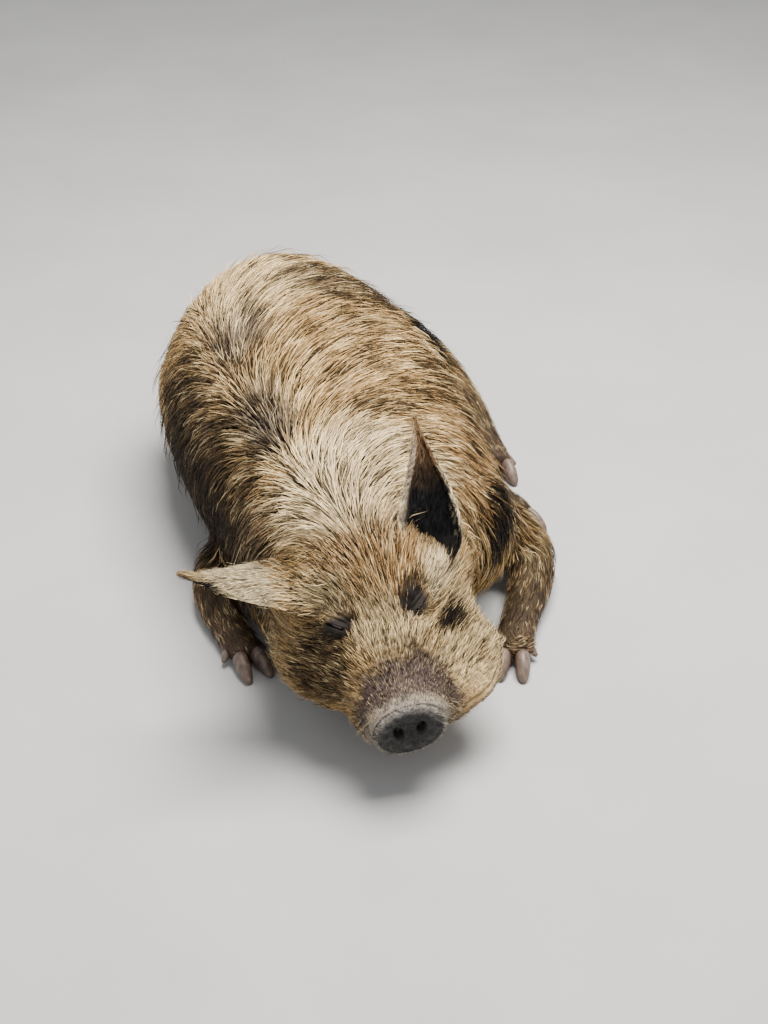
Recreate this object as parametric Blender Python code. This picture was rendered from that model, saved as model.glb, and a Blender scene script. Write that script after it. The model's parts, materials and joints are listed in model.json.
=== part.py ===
"""Domestic pig, adult, bristly coat, lying half on its right side with its head forward.

Metres, +Z up, floor at z = 0. The pig faces -Y and its left side is +X.
The flesh is lofted whole, fused, and then parted into named nodes with thin cuts.
"""
import math
import random

import bmesh
import bpy
from mathutils import Matrix, Vector
from mathutils.bvhtree import BVHTree

GAP = 0.0003            # space that touching nodes keep
VOXEL = 0.0085          # cell of the fused flesh
FLESH_SMOOTH = 14       # rounds of smoothing
SMOOTH_SHARE = 0.5
FLESH_FACES = 5000      # triangles left in the whole flesh before it is parted
FLOOR_CUT = 2.4         # width of the block that flattens what lies on the floor

# The torso: y along the spine, x and z of the ring's middle, half width, half height, roll.
TORSO_RINGS = (
    (0.600, 0.030, 0.235, 0.030, 0.035, 38),
    (0.572, 0.030, 0.234, 0.095, 0.094, 38),
    (0.505, 0.030, 0.228, 0.168, 0.150, 38),
    (0.380, 0.030, 0.218, 0.222, 0.192, 36),
    (0.180, 0.032, 0.214, 0.240, 0.213, 32),
    (-0.040, 0.036, 0.208, 0.226, 0.208, 26),
    (-0.180, 0.016, 0.210, 0.200, 0.198, 14),
    (-0.290, -0.024, 0.216, 0.160, 0.166, 4),
    (-0.370, -0.046, 0.214, 0.122, 0.126, 0),
)

# The head stands in its own frame: s runs forward from the ears, then z, half width, half height.
HEAD_AT = Vector((-0.046, -0.306, 0.232))
HEAD_PITCH = 26.0
HEAD_YAW = -2.0
HEAD_ROLL = -9.0
HEAD_RINGS = (
    (-0.130, -0.020, 0.115, 0.110),
    (-0.060, -0.008, 0.128, 0.120),
    (0.000, 0.000, 0.126, 0.110),
    (0.050, -0.006, 0.118, 0.096),
    (0.100, -0.018, 0.101, 0.078),
    (0.150, -0.024, 0.082, 0.062),
    (0.195, -0.022, 0.067, 0.053),
    (0.232, -0.016, 0.058, 0.047),
)
# Masses on both sides of the head, then the single ones: forward, to the left and up, and half sizes.
HEAD_PAIRS = (
    ("jowl", (0.040, 0.088, -0.058), (0.068, 0.094, 0.068)),
    ("cheek", (0.100, 0.070, -0.040), (0.050, 0.066, 0.044)),
    ("brow", (0.050, 0.060, 0.052), (0.030, 0.034, 0.020)),
    ("lip", (0.172, 0.046, -0.044), (0.028, 0.050, 0.021)),
)
HEAD_SINGLES = (
    ("pressed_cheek", (0.118, 0.100, -0.060), (0.070, 0.088, 0.050)),
    ("front_jowl", (0.178, 0.066, -0.062), (0.048, 0.042, 0.036)),
    ("crown", (-0.020, 0.000, 0.046), (0.092, 0.080, 0.046)),
    ("chin", (0.160, 0.010, -0.078), (0.054, 0.068, 0.034)),
    ("throat", (0.010, 0.000, -0.098), (0.110, 0.112, 0.074)),
)
TORSO_MASSES = (
    ("shoulder_left", (0.150, -0.130, 0.190), (0.110, 0.140, 0.130)),
    ("shoulder_right", (-0.095, -0.130, 0.150), (0.090, 0.140, 0.120)),
    ("ham_left", (0.140, 0.420, 0.225), (0.135, 0.150, 0.130)),
    ("ham_right", (-0.050, 0.430, 0.155), (0.125, 0.150, 0.130)),
    ("belly", (0.105, 0.100, 0.120), (0.175, 0.270, 0.125)),
    ("nape", (-0.030, -0.270, 0.262), (0.110, 0.150, 0.092)),
    ("dewlap", (0.010, -0.290, 0.076), (0.112, 0.120, 0.084)),
)
MUZZLE_END = 0.226
DISC_TILT = 22.0        # the disc's top leans back
DISC_HALF = (0.050, 0.042)
DISC_THICK = 0.012
DISC_Z = -0.012
NOSTRIL_OUT = 0.0165
NOSTRIL_HALF = (0.0062, 0.0085, 0.0090)
NOSTRIL_UP = 0.002
MUZZLE_BLOCK = 0.12     # half size of the block that squares the muzzle's end
EYE_R = 0.0120
EYE_S = 0.078
EYE_SIDE = 0.060
EYE_Z = 0.050
EYE_LOOK = (0.62, 0.62, 0.48)   # out to the side, forward and up
LID_HALF = (0.023, 0.012, 0.016)
SLIT_HALF = (0.0125, 0.014, 0.0016)
SLIT_SLOPE = 5.0        # the slit falls a little toward the cheek
SLIT_SHIFT = (0.0004, -0.0010)  # the slit's middle from the ball's, across and up
EYE_SUNK = 0.0045       # how far the ball's middle lies behind the lids' middle
MOUTH_DROP = 0.052
EAR_WIDTH = 0.112
EAR_THICK = 0.0070
EAR_EDGE = 0.0012       # thickness at the ear's edge
EAR_TIP = 0.0026        # half width of the blunt tip
EAR_TAPER = 1.6         # how fast it narrows to the tip
EAR_SWELL = (0.74, 2.40)    # width at the root and how much it grows toward the tip
EAR_CUP = 0.030
EAR_ROOT = 0.16         # share of the ear's length that is sunk in the head before carving
# Each ear: its root on the head, the way along it, the way its cup faces, its tip's bend, its length.
EARS = {
    "ear_left": ((0.030, 0.096, 0.052), (0.006, 0.287, 0.958), (0.10, -0.90, 0.25), -0.10, 0.212),
    "ear_right": ((0.008, -0.094, 0.050), (-0.90, 0.10, 0.18), (-0.10, 0.05, -0.99), -0.10, 0.172),
}
EAR_ROWS = 10
EAR_COLUMNS = 8
DISC_PROFILE = ((0.0, 0.93), (0.003, 0.99), (0.008, 1.0), (0.0115, 0.95), (0.0130, 0.84), (0.0125, 0.60))
MOUTH_CORE = 0.150      # how far forward the mouth's curve is centred
MOUTH_TURN = 118.0
MOUTH_RISE = 0.018
MOUTH_STEPS = 10
MOUTH_DEEP = 0.0040
MOUTH_WIDE = 0.0014
CLAW_PROFILE = ((0.0, 0.90, 0.80, 0.0), (0.25, 1.0, 1.0, 0.0), (0.60, 0.92, 0.86, 0.14),
                (0.88, 0.66, 0.52, 0.42), (1.0, 0.30, 0.24, 0.62))
DEWCLAW_PROFILE = ((0.0, 0.90, 0.80, 0.0), (0.45, 1.0, 1.0, 0.0), (1.0, 0.45, 0.40, 0.50))
CLAW_LENGTH = 0.050
CLAW_HALF = (0.0120, 0.0190)
CLAW_IN = 0.010
CLAW_FLAT = 0.0012      # how much of a claw's underside is worn flat
CLAW_SPREAD = 0.0135
DEWCLAW_LENGTH = 0.024
DEWCLAW_HALF = (0.0070, 0.0075)
DEWCLAW_BACK = 0.034
DEWCLAW_SPREAD = 0.0190
DEWCLAW_Z = 0.020
CLAW_TURN = 0.10        # how far the claws' tips turn apart
DEWCLAW_WAY = (0.62, 0.72, 0.16)    # forward, out to the side and down
TAIL = (
    ((0.000, 0.545, 0.272), 0.018, 0.018),
    ((0.000, 0.592, 0.272), 0.016, 0.016),
    ((0.008, 0.622, 0.250), 0.013, 0.013),
    ((0.020, 0.638, 0.215), 0.011, 0.011),
    ((0.036, 0.642, 0.180), 0.009, 0.009),
    ((0.054, 0.636, 0.160), 0.007, 0.007),
    ((0.066, 0.628, 0.168), 0.005, 0.005),
    ((0.064, 0.624, 0.186), 0.003, 0.003),
)

# The coat: the flesh stays below its tips by this depth, and flat locks reach the rest of the way.
COAT_DEPTH = 0.011
COAT_DEPTH_HEAD = 0.004
HEAD_COAT_FROM = (-0.02, -0.30)     # the head's thinner coat starts here: forward on the head, and y
MUZZLE_FADE = 0.05      # length over which the head's coat thins toward the muzzle
FLOOR_FADE = (0.03, 0.06)   # height at which the coat starts, and height over which it thickens
BARE_MUZZLE = 0.130     # from here forward the head has only fine hair
BARE_FOOT = 0.065       # lower than this the legs have only fine hair
EYE_BARE = 0.026        # no lock comes nearer to an eye
LOW_FLANK = 0.055       # roots on the head and trunk stand higher than this
UNDERSIDE = -0.30       # and where the skin faces less downward than this
LOCK_SEED = 11
WELD = 0.000001         # corners nearer than this are one corner
ROOT_DRAWS = 24         # places tried for each lock that would fit
LOCK_LONG = {"torso": 0.168, "neck": 0.150, "head": 0.100, "leg": 0.105}
LOCK_WIDE = {"torso": 0.088, "neck": 0.078, "head": 0.052, "leg": 0.054}
LOCK_APART = (0.68, 0.98)   # least distance of two roots along and across the lie, in lengths and widths
LOCK_THICK = 0.0048
# Along a lock: share of its length, height over the skin, share of its width and of its thickness.
LOCK_STATIONS = ((0.00, -0.0100, 0.22, 0.85), (0.12, 0.0040, 0.52, 1.00), (0.38, 0.0078, 1.00, 0.90),
                 (0.70, 0.0104, 0.80, 0.65))
LOCK_TIP_HEIGHT = 0.0128
LOCK_TRIES = ((1.0, 0.0), (1.0, 0.005), (1.0, 0.009), (0.75, 0.0), (0.75, 0.005), (0.5, 0.002))
CUT_CLEAR = 0.012       # roots keep this far from a cut
CUT_REACH = 0.37        # a cut counts for roots nearer than this to its middle
LOCK_FLOOR = 0.040      # no lock comes lower than this
LIE_RIDGE = 12.0        # degrees between the hair and the spine along the ridge
LIE_FLANK = 66.0        # the same half way down a flank
LIE_RUMP = 2.5          # how strongly it turns downward where the skin faces backward
LIE_TURN = 1.0          # angle from the ridge, in radians, over which the hair turns
LIE_CHEEK = (0.75, 0.10)    # how strongly it spreads on the face, and at which distance from the middle
LIE_DROP = (0.55, 0.03, 0.08)   # how strongly it falls on the cheeks, from which height and over which
LONG_SPREAD = (0.85, 1.12)  # least and greatest share of a lock's length
WIDE_SPREAD = (0.85, 1.15)
BEND_SPREAD = 0.30

RING_SIDES = 40


def clear_scene():
    for thing in list(bpy.data.objects):
        bpy.data.objects.remove(thing, do_unlink=True)


def material(name, colour, roughness, metallic=0.0):
    made = bpy.data.materials.new(name)
    made.use_nodes = True
    shader = made.node_tree.nodes["Principled BSDF"]
    shader.inputs["Base Color"].default_value = (*colour, 1.0)
    shader.inputs["Roughness"].default_value = roughness
    shader.inputs["Metallic"].default_value = metallic
    return made


def object_from(name, shape):
    """Turns a bmesh into an object and frees the bmesh."""
    bmesh.ops.recalc_face_normals(shape, faces=shape.faces)
    mesh = bpy.data.meshes.new(name)
    shape.to_mesh(mesh)
    shape.free()
    made = bpy.data.objects.new(name, mesh)
    bpy.context.scene.collection.objects.link(made)
    return made


def remove(things):
    for thing in list(things):
        bpy.data.objects.remove(thing, do_unlink=True)


def apply_modifiers(thing):
    """Bakes the modifiers of an object into its mesh."""
    graph = bpy.context.evaluated_depsgraph_get()
    mesh = bpy.data.meshes.new_from_object(thing.evaluated_get(graph))
    thing.modifiers.clear()
    thing.data = mesh


def keep_largest(thing, method="BEAUTY"):
    """Keeps only the largest closed surface of an object's mesh, made of triangles."""
    shape = bmesh.new()
    shape.from_mesh(thing.data)
    shape.faces.ensure_lookup_table()
    groups = []
    unseen = set(shape.faces)
    while unseen:
        start = unseen.pop()
        group = [start]
        front = [start]
        while front:
            face = front.pop()
            for edge in face.edges:
                for other in edge.link_faces:
                    if other in unseen:
                        unseen.remove(other)
                        group.append(other)
                        front.append(other)
        groups.append(group)
    groups.sort(key=lambda group: sum(face.calc_area() for face in group))
    spare = [face for group in groups[:-1] for face in group]
    if spare:
        bmesh.ops.delete(shape, geom=spare, context="FACES")
    bmesh.ops.triangulate(shape, faces=shape.faces, ngon_method=method)
    shape.to_mesh(thing.data)
    shape.free()


def boolean(thing, cutter, operation, solver="EXACT"):
    """Cuts or joins an object with another object, or with every object of a collection."""
    change = thing.modifiers.new("cut", "BOOLEAN")
    change.operation = operation
    change.solver = solver
    if isinstance(cutter, bpy.types.Collection):
        change.operand_type = "COLLECTION"
        change.collection = cutter
    else:
        change.object = cutter
    apply_modifiers(thing)


def join_all(name, things):
    """Puts several meshes into one object without fusing them."""
    shape = bmesh.new()
    for thing in things:
        piece = thing.data.copy()
        piece.transform(thing.matrix_world)
        shape.from_mesh(piece)
        bpy.data.meshes.remove(piece)
    remove(things)
    return object_from(name, shape)


def smooth_path(values, step):
    """Catmull-Rom values between the rows of a table, one row for each step."""
    rows = [tuple(row) for row in values]
    ends = [rows[0]] + rows + [rows[-1]]
    path = []
    for i in range(len(rows) - 1):
        a, b, c, d = ends[i:i + 4]
        for k in range(step):
            t = k / step
            path.append(tuple(
                0.5 * (2 * q + (r - p) * t + (2 * p - 5 * q + 4 * r - s) * t * t
                       + (3 * q - p - 3 * r + s) * t ** 3)
                for p, q, r, s in zip(a, b, c, d)))
    path.append(rows[-1])
    return path


def loft(name, rings):
    """Bridges rings of points into a closed tube with its ends filled."""
    shape = bmesh.new()
    loops = [[shape.verts.new(point) for point in ring] for ring in rings]
    for a, b in zip(loops, loops[1:]):
        for i in range(len(a)):
            j = (i + 1) % len(a)
            shape.faces.new((a[i], a[j], b[j], b[i]))
    shape.faces.new(loops[0])
    shape.faces.new(list(reversed(loops[-1])))
    return object_from(name, shape)


def ring(middle, across, up, half_w, half_h, sides=RING_SIDES, turn=0.0):
    """An elliptical ring of points round a middle, turned by an angle in radians."""
    points = []
    for i in range(sides):
        angle = 2 * math.pi * i / sides
        x = half_w * math.cos(angle)
        z = half_h * math.sin(angle)
        points.append(middle + across * (x * math.cos(turn) - z * math.sin(turn))
                      + up * (x * math.sin(turn) + z * math.cos(turn)))
    return points


def ellipsoid(name, middle, half, frame=None, rings=12):
    """A ball stretched to three half sizes, along a frame's axes if one is given."""
    shape = bmesh.new()
    bmesh.ops.create_uvsphere(shape, u_segments=rings * 2, v_segments=rings, radius=1.0)
    turn = frame.to_3x3().to_4x4() if frame else Matrix.Identity(4)
    place = Matrix.Translation(middle) @ turn @ Matrix.Diagonal((*half, 1.0))
    bmesh.ops.transform(shape, matrix=place, verts=shape.verts)
    return object_from(name, shape)


def limb(name, stations, sides=20, step=6):
    """A round limb along stations of place, half width and half depth."""
    path = smooth_path([(*place, wide, deep) for place, wide, deep in stations], step)
    rings = []
    for i, row in enumerate(path):
        here = Vector(row[:3])
        before = Vector(path[max(i - 1, 0)][:3])
        after = Vector(path[min(i + 1, len(path) - 1)][:3])
        along = (after - before).normalized()
        across = along.cross(Vector((0, 0, 1))).normalized()
        rings.append(ring(here, across, across.cross(along), row[3], row[4], sides))
    return loft(name, rings)


def head_frame():
    """The head's own frame: -Y forward, X to its left, Z up."""
    turn = (Matrix.Rotation(math.radians(HEAD_YAW), 4, "Z")
            @ Matrix.Rotation(math.radians(HEAD_PITCH), 4, "X")
            @ Matrix.Rotation(math.radians(HEAD_ROLL), 4, "Y"))
    return Matrix.Translation(HEAD_AT) @ turn


def head_point(s, side, z):
    """A place on the head from its distance forward, to its left and up."""
    return head_frame() @ Vector((side, -s, z))


def torso_loft():
    rings = []
    for y, x, z, half_w, half_h, roll in smooth_path(TORSO_RINGS, 5):
        rings.append(ring(Vector((x, y, z)), Vector((1, 0, 0)), Vector((0, 0, 1)),
                          half_w, half_h, turn=math.radians(roll)))
    return loft("torso_loft", rings)


def head_loft():
    frame = head_frame()
    across = frame.to_3x3() @ Vector((1, 0, 0))
    up = frame.to_3x3() @ Vector((0, 0, 1))
    rings = []
    for s, z, half_w, half_h in smooth_path(HEAD_RINGS, 5):
        rings.append(ring(head_point(s, 0, z), across, up, half_w, half_h))
    return loft("head_loft", rings)


def head_masses():
    """Jowls, cheeks, brows, lips, crown, chin and throat of the head."""
    frame = head_frame()
    made = []
    for name, (s, side, z), half in HEAD_PAIRS:
        made += [ellipsoid(name, head_point(s, side * sign, z), half, frame) for sign in (-1, 1)]
    for name, place, half in HEAD_SINGLES:
        made.append(ellipsoid(name, head_point(*place), half, frame))
    return made


def torso_masses():
    """Shoulders, hams, belly, nape and dewlap of the torso."""
    return [ellipsoid(name, Vector(middle), half, rings=16) for name, middle, half in TORSO_MASSES]


LEGS = {
    "leg_front_left": (
        ((0.150, -0.080, 0.170), 0.080, 0.075),
        ((0.250, -0.065, 0.115), 0.062, 0.060),
        ((0.322, -0.080, 0.068), 0.047, 0.048),
        ((0.300, -0.145, 0.041), 0.038, 0.038),
        ((0.252, -0.215, 0.032), 0.030, 0.030),
        ((0.218, -0.268, 0.029), 0.031, 0.029),
        ((0.203, -0.298, 0.026), 0.028, 0.026),
    ),
    "leg_front_right": (
        ((-0.070, 0.000, 0.130), 0.070, 0.070),
        ((-0.130, 0.050, 0.085), 0.056, 0.055),
        ((-0.176, 0.042, 0.047), 0.043, 0.043),
        ((-0.196, -0.020, 0.033), 0.034, 0.034),
        ((-0.194, -0.085, 0.027), 0.028, 0.028),
        ((-0.188, -0.130, 0.026), 0.029, 0.027),
        ((-0.184, -0.158, 0.025), 0.027, 0.026),
    ),
    "leg_hind_left": (
        ((0.120, 0.380, 0.225), 0.115, 0.105),
        ((0.220, 0.425, 0.215), 0.098, 0.088),
        ((0.312, 0.462, 0.172), 0.068, 0.062),
        ((0.382, 0.470, 0.118), 0.047, 0.046),
        ((0.416, 0.415, 0.070), 0.036, 0.038),
        ((0.420, 0.325, 0.034), 0.029, 0.030),
        ((0.414, 0.262, 0.028), 0.030, 0.029),
        ((0.410, 0.230, 0.025), 0.028, 0.026),
    ),
    "leg_hind_right": (
        ((0.120, 0.250, 0.100), 0.080, 0.075),
        ((0.205, 0.245, 0.072), 0.062, 0.058),
        ((0.275, 0.222, 0.044), 0.045, 0.045),
        ((0.326, 0.178, 0.034), 0.035, 0.036),
        ((0.358, 0.122, 0.028), 0.028, 0.029),
        ((0.372, 0.085, 0.027), 0.029, 0.028),
        ((0.380, 0.058, 0.025), 0.027, 0.026),
    ),
}


def leg_end(name):
    """The last place of a leg and the direction in which it points."""
    last = Vector(LEGS[name][-1][0])
    before = Vector(LEGS[name][-2][0])
    return last, (last - before).normalized()


def fuse(things):
    """Fuses overlapping masses into one smooth closed skin."""
    whole = join_all("flesh", things)
    change = whole.modifiers.new("remesh", "REMESH")
    change.mode = "VOXEL"
    change.voxel_size = VOXEL
    apply_modifiers(whole)
    change = whole.modifiers.new("smooth", "SMOOTH")
    change.factor = SMOOTH_SHARE
    change.iterations = FLESH_SMOOTH
    apply_modifiers(whole)
    return whole


def flatten(whole):
    """Cuts away what would lie under the floor, which leaves small flats at one level."""
    shape = bmesh.new()
    bmesh.ops.create_cube(shape, size=1.0)
    bmesh.ops.transform(shape, verts=shape.verts, matrix=Matrix.Translation((0, 0, -0.5))
                        @ Matrix.Diagonal((FLOOR_CUT, FLOOR_CUT, 1.0, 1.0)))
    floor = object_from("floor_cut", shape)
    boolean(whole, floor, "DIFFERENCE")
    remove([floor])


def thin_out(thing, faces):
    """Lowers the number of triangles, most where the form is plain."""
    now = sum(len(face.vertices) - 2 for face in thing.data.polygons)
    if now > faces:
        change = thing.modifiers.new("decimate", "DECIMATE")
        change.use_collapse_triangulate = True
        change.ratio = faces / now
        apply_modifiers(thing)


def block(name, middle, turn, low, high):
    """A box from two corners in a turned frame of its own."""
    shape = bmesh.new()
    bmesh.ops.create_cube(shape, size=1.0)
    size = Vector(high) - Vector(low)
    centre = (Vector(high) + Vector(low)) / 2
    place = (Matrix.Translation(middle) @ turn.to_4x4() @ Matrix.Translation(centre)
             @ Matrix.Diagonal((*size, 1.0)))
    bmesh.ops.transform(shape, matrix=place, verts=shape.verts)
    return object_from(name, shape)


def facing(direction, up=(0, 0, 1)):
    """A turn whose Y axis runs along a direction."""
    y = Vector(direction).normalized()
    x = y.cross(Vector(up)).normalized()
    return Matrix((x, y, x.cross(y))).transposed()


def pieces_of(thing):
    """Splits an object into its closed surfaces, largest first."""
    shape = bmesh.new()
    shape.from_mesh(thing.data)
    unseen = set(shape.verts)
    groups = []
    while unseen:
        start = unseen.pop()
        group = {start}
        front = [start]
        while front:
            for edge in front.pop().link_edges:
                for other in edge.verts:
                    if other not in group:
                        group.add(other)
                        front.append(other)
        unseen -= group
        groups.append(sorted(vert.index for vert in group))
    groups.sort(key=len, reverse=True)
    made = []
    for group in groups:
        piece = shape.copy()
        piece.verts.ensure_lookup_table()
        kept = set(group)
        spare = [vert for vert in piece.verts if vert.index not in kept]
        bmesh.ops.delete(piece, geom=spare, context="VERTS")
        made.append(object_from(thing.name + "_piece", piece))
    shape.free()
    return made


def middle_of(thing):
    total = Vector((0, 0, 0))
    for vert in thing.data.vertices:
        total += vert.co
    return total / len(thing.data.vertices)


def coat_depth(place):
    """How far the skin lies under the coat's tips at a place on the flesh."""
    local = head_frame().inverted() @ place
    forward = -local.y
    if forward > HEAD_COAT_FROM[0] and place.y < HEAD_COAT_FROM[1]:
        return COAT_DEPTH_HEAD * min(1.0, max(0.0, (BARE_MUZZLE - forward) / MUZZLE_FADE))
    return COAT_DEPTH * min(1.0, max(0.0, (place.z - FLOOR_FADE[0]) / FLOOR_FADE[1]))


def sink_skin(body):
    """Lowers the flesh under the coat, so that the coat's tips keep the true outline."""
    normals = [vert.normal.copy() for vert in body.data.vertices]
    for vert, normal in zip(body.data.vertices, normals):
        vert.co -= normal * coat_depth(vert.co)


def spine_at(y):
    """The middle of the torso and the roll of its ridge at a place along the spine."""
    rows = sorted(TORSO_RINGS)
    if y <= rows[0][0]:
        return rows[0][1], rows[0][2], math.radians(rows[0][5])
    for a, b in zip(rows, rows[1:]):
        if y <= b[0]:
            t = (y - a[0]) / (b[0] - a[0])
            mix = [p + (q - p) * t for p, q in zip(a, b)]
            return mix[1], mix[2], math.radians(mix[5])
    return rows[-1][1], rows[-1][2], math.radians(rows[-1][5])


def body_lie(place, normal):
    """Along the back the hair runs backward; it turns away down the flanks and over the rump."""
    x, z, roll = spine_at(place.y)
    ridge = Vector((-math.sin(roll), 0, math.cos(roll)))
    side = Vector((math.cos(roll), 0, math.sin(roll)))
    out = Vector((place.x - x, 0, place.z - z))
    angle = math.atan2(out.dot(side), out.dot(ridge))
    away = side * math.cos(angle) - ridge * math.sin(angle)
    if angle < 0:
        away = -away
    share = min(1.0, abs(angle) / LIE_TURN)
    swing = math.radians(LIE_RIDGE + (LIE_FLANK - LIE_RIDGE) * share)
    lie = Vector((0, 1, 0)) * math.cos(swing) + away * math.sin(swing)
    fall = LIE_RUMP * max(0.0, normal.y) ** 2
    return (lie + Vector((0, 0, -fall))).normalized()


def head_lie(place, normal):
    """From the snout back over the face, out over the cheeks and round the eyes."""
    frame = head_frame()
    local = frame.inverted() @ place
    spread = max(-1.0, min(1.0, local.x / LIE_CHEEK[1]))
    drop = -LIE_DROP[0] * max(0.0, min(1.0, (LIE_DROP[1] - local.z) / LIE_DROP[2]))
    return (frame.to_3x3() @ Vector((LIE_CHEEK[0] * spread, 1.0, drop))).normalized()


def leg_lie(name):
    stations = [Vector(place) for place, wide, deep in LEGS[name]]

    def lie(place, normal):
        near = min(range(len(stations) - 1),
                   key=lambda i: ((stations[i] + stations[i + 1]) / 2 - place).length)
        return (stations[near + 1] - stations[near]).normalized()

    return lie


def lock(root, surface, lie, long, wide, lift, bend):
    """One flat, tapered lock that leaves the skin at its root and lies back along it."""
    sections = []
    here, normal = root
    step_before = 0.0
    slight = min(1.0, long / LOCK_LONG["torso"])
    for share, height, broad, thick in LOCK_STATIONS + ((1.0, LOCK_TIP_HEIGHT, 0.0, 0.0),):
        along = lie(here, normal)
        along = (along - normal * along.dot(normal)).normalized()
        across = normal.cross(along)
        along = (along + across * (bend * share)).normalized()
        moved = here + along * (long * (share - step_before))
        step_before = share
        found = surface.find_nearest(moved)
        here, normal = found[0], found[1]
        if share > 0:
            height = height * slight + lift
        raised = here + normal * height
        sections.append((raised, across, normal, wide * broad / 2, LOCK_THICK * thick))
    shape = bmesh.new()
    loops = []
    for middle, across, normal, half_w, ridge in sections[:-1]:
        loops.append([shape.verts.new(point) for point in (
            middle + across * half_w, middle + normal * ridge, middle - across * half_w)])
    tip = shape.verts.new(sections[-1][0])
    shape.faces.new(loops[0])
    for a, b in zip(loops, loops[1:]):
        for i in range(3):
            j = (i + 1) % 3
            shape.faces.new((a[i], a[j], b[j]))
            shape.faces.new((a[i], b[j], b[i]))
    for i in range(3):
        shape.faces.new((loops[-1][i], loops[-1][(i + 1) % 3], tip))
    return object_from("lock", shape)


def tree_of(thing):
    shape = bmesh.new()
    shape.from_mesh(thing.data)
    tree = BVHTree.FromBMesh(shape)
    shape.free()
    return tree


def too_near(place, normal, other, lie, long, wide):
    """Whether a root would stand within another root's space, which is longer along the lie."""
    along = lie(place, normal)
    offset = place - other
    lengthwise = offset.dot(along)
    sideways = (offset - along * lengthwise).length
    return math.hypot(lengthwise / (LOCK_APART[0] * long), sideways / (LOCK_APART[1] * wide)) < 1


def spread_roots(thing, kind, lie, wanted, draw):
    """Places spread evenly over a node where the coat is wanted."""
    long, wide = LOCK_LONG[kind], LOCK_WIDE[kind]
    shape = bmesh.new()
    shape.from_mesh(thing.data)
    faces = [face for face in shape.faces if wanted(face.calc_center_median(), face.normal)]
    areas = [face.calc_area() for face in faces]
    roots = []
    if not faces:
        shape.free()
        return roots
    for face in draw.choices(faces, weights=areas, k=int(ROOT_DRAWS * sum(areas) / (long * wide))):
        corners = [vert.co for vert in face.verts]
        a, b = draw.random(), draw.random()
        if a + b > 1:
            a, b = 1 - a, 1 - b
        place = corners[0] + (corners[1] - corners[0]) * a + (corners[2] - corners[0]) * b
        normal = face.normal.copy()
        if not any(too_near(place, normal, other, lie, long, wide) for other, _ in roots):
            roots.append((place, normal))
    shape.free()
    return roots


def grow_coat(thing, kind, lie, wanted, neighbours, surface, draw):
    """Covers a node with locks, each tried shorter or higher until it is clear of its neighbours."""
    walls = []
    for neighbour in neighbours:
        swollen = grown(neighbour)
        walls.append(tree_of(swollen))
        remove([swollen])
    locks = []
    for root in spread_roots(thing, kind, lie, wanted, draw):
        long = LOCK_LONG[kind] * draw.uniform(*LONG_SPREAD)
        wide = LOCK_WIDE[kind] * draw.uniform(*WIDE_SPREAD)
        bend = draw.uniform(-BEND_SPREAD, BEND_SPREAD)
        for share, lift in LOCK_TRIES:
            piece = lock(root, surface, lie, long * share, wide, lift, bend)
            low = min(vert.co.z for vert in piece.data.vertices)
            tree = tree_of(piece)
            if low > LOCK_FLOOR and not any(wall.overlap(tree) for wall in walls):
                locks.append(piece)
                break
            remove([piece])
    if locks:
        fuse_into(thing, locks, "MANIFOLD")
        settle(thing)


# Where the whole flesh is parted: a place, the cut's normal toward the part, and its half sizes.
CUTS = (
    ("leg_front_left", (0.276, -0.068, 0.098), (0.88, -0.16, -0.44), 0.095, 0.085),
    ("leg_front_right", (-0.160, 0.048, 0.064), (-0.88, -0.04, -0.46), 0.070, 0.070),
    ("leg_hind_left", (0.262, 0.440, 0.196), (0.84, 0.34, -0.42), 0.110, 0.110),
    ("leg_hind_right", (0.305, 0.200, 0.044), (0.78, -0.60, -0.12), 0.060, 0.060),
    ("head", (-0.040, -0.285, 0.225), (-0.03, -0.93, -0.20), 0.40, 0.40),
    ("neck", (0.010, -0.165, 0.225), (-0.10, -0.99, -0.05), 0.50, 0.50),
)

# The left hind leg bends round a wide space, so its foot is a node of its own.
FOOT_CUT = ("foot_hind_left", (0.410, 0.425, 0.080), (0.22, -0.84, -0.49), 0.060, 0.060)


def part_off(body, name, place, normal, half_x, half_z):
    """Cuts one part off a body with a thin slab and returns both; the rest keeps the body's name."""
    rest_name = body.name
    turn = facing(normal)
    slab = block("slab", Vector(place), turn, (-half_x, -GAP / 2, -half_z), (half_x, GAP / 2, half_z))
    boolean(body, slab, "DIFFERENCE")
    remove([slab])
    pieces = pieces_of(body)
    remove([body])
    forward = Vector(normal)
    outer = [piece for piece in pieces if (middle_of(piece) - Vector(place)).dot(forward) > 0]
    inner = [piece for piece in pieces if piece not in outer]
    part, rest = outer[0], inner[0]
    remove(outer[1:] + inner[1:])
    part.name = name
    rest.name = rest_name
    return part, rest


def grown(thing, by=GAP):
    """A copy of an object swollen along its normals, to carve its neighbours with."""
    copy = bpy.data.objects.new(thing.name + "_grown", thing.data.copy())
    bpy.context.scene.collection.objects.link(copy)
    normals = [vert.normal.copy() for vert in copy.data.vertices]
    for vert, normal in zip(copy.data.vertices, normals):
        vert.co += normal * by
    return copy


def carve(thing, neighbour, by=GAP):
    """Cuts a neighbour's swollen shape out of an object."""
    cutter = grown(neighbour, by)
    boolean(thing, cutter, "DIFFERENCE")
    remove([cutter])
    keep_largest(thing)


def settle(thing):
    """Welds corners that touch and removes pairs of faces that lie back to back."""
    shape = bmesh.new()
    shape.from_mesh(thing.data)
    bmesh.ops.remove_doubles(shape, verts=shape.verts, dist=WELD)
    seen = {}
    spare = []
    for face in shape.faces:
        corners = frozenset(face.verts)
        if corners in seen:
            spare += [face, seen.pop(corners)]
        else:
            seen[corners] = face
    bmesh.ops.delete(shape, geom=spare, context="FACES")
    shape.to_mesh(thing.data)
    shape.free()
    keep_largest(thing)


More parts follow.
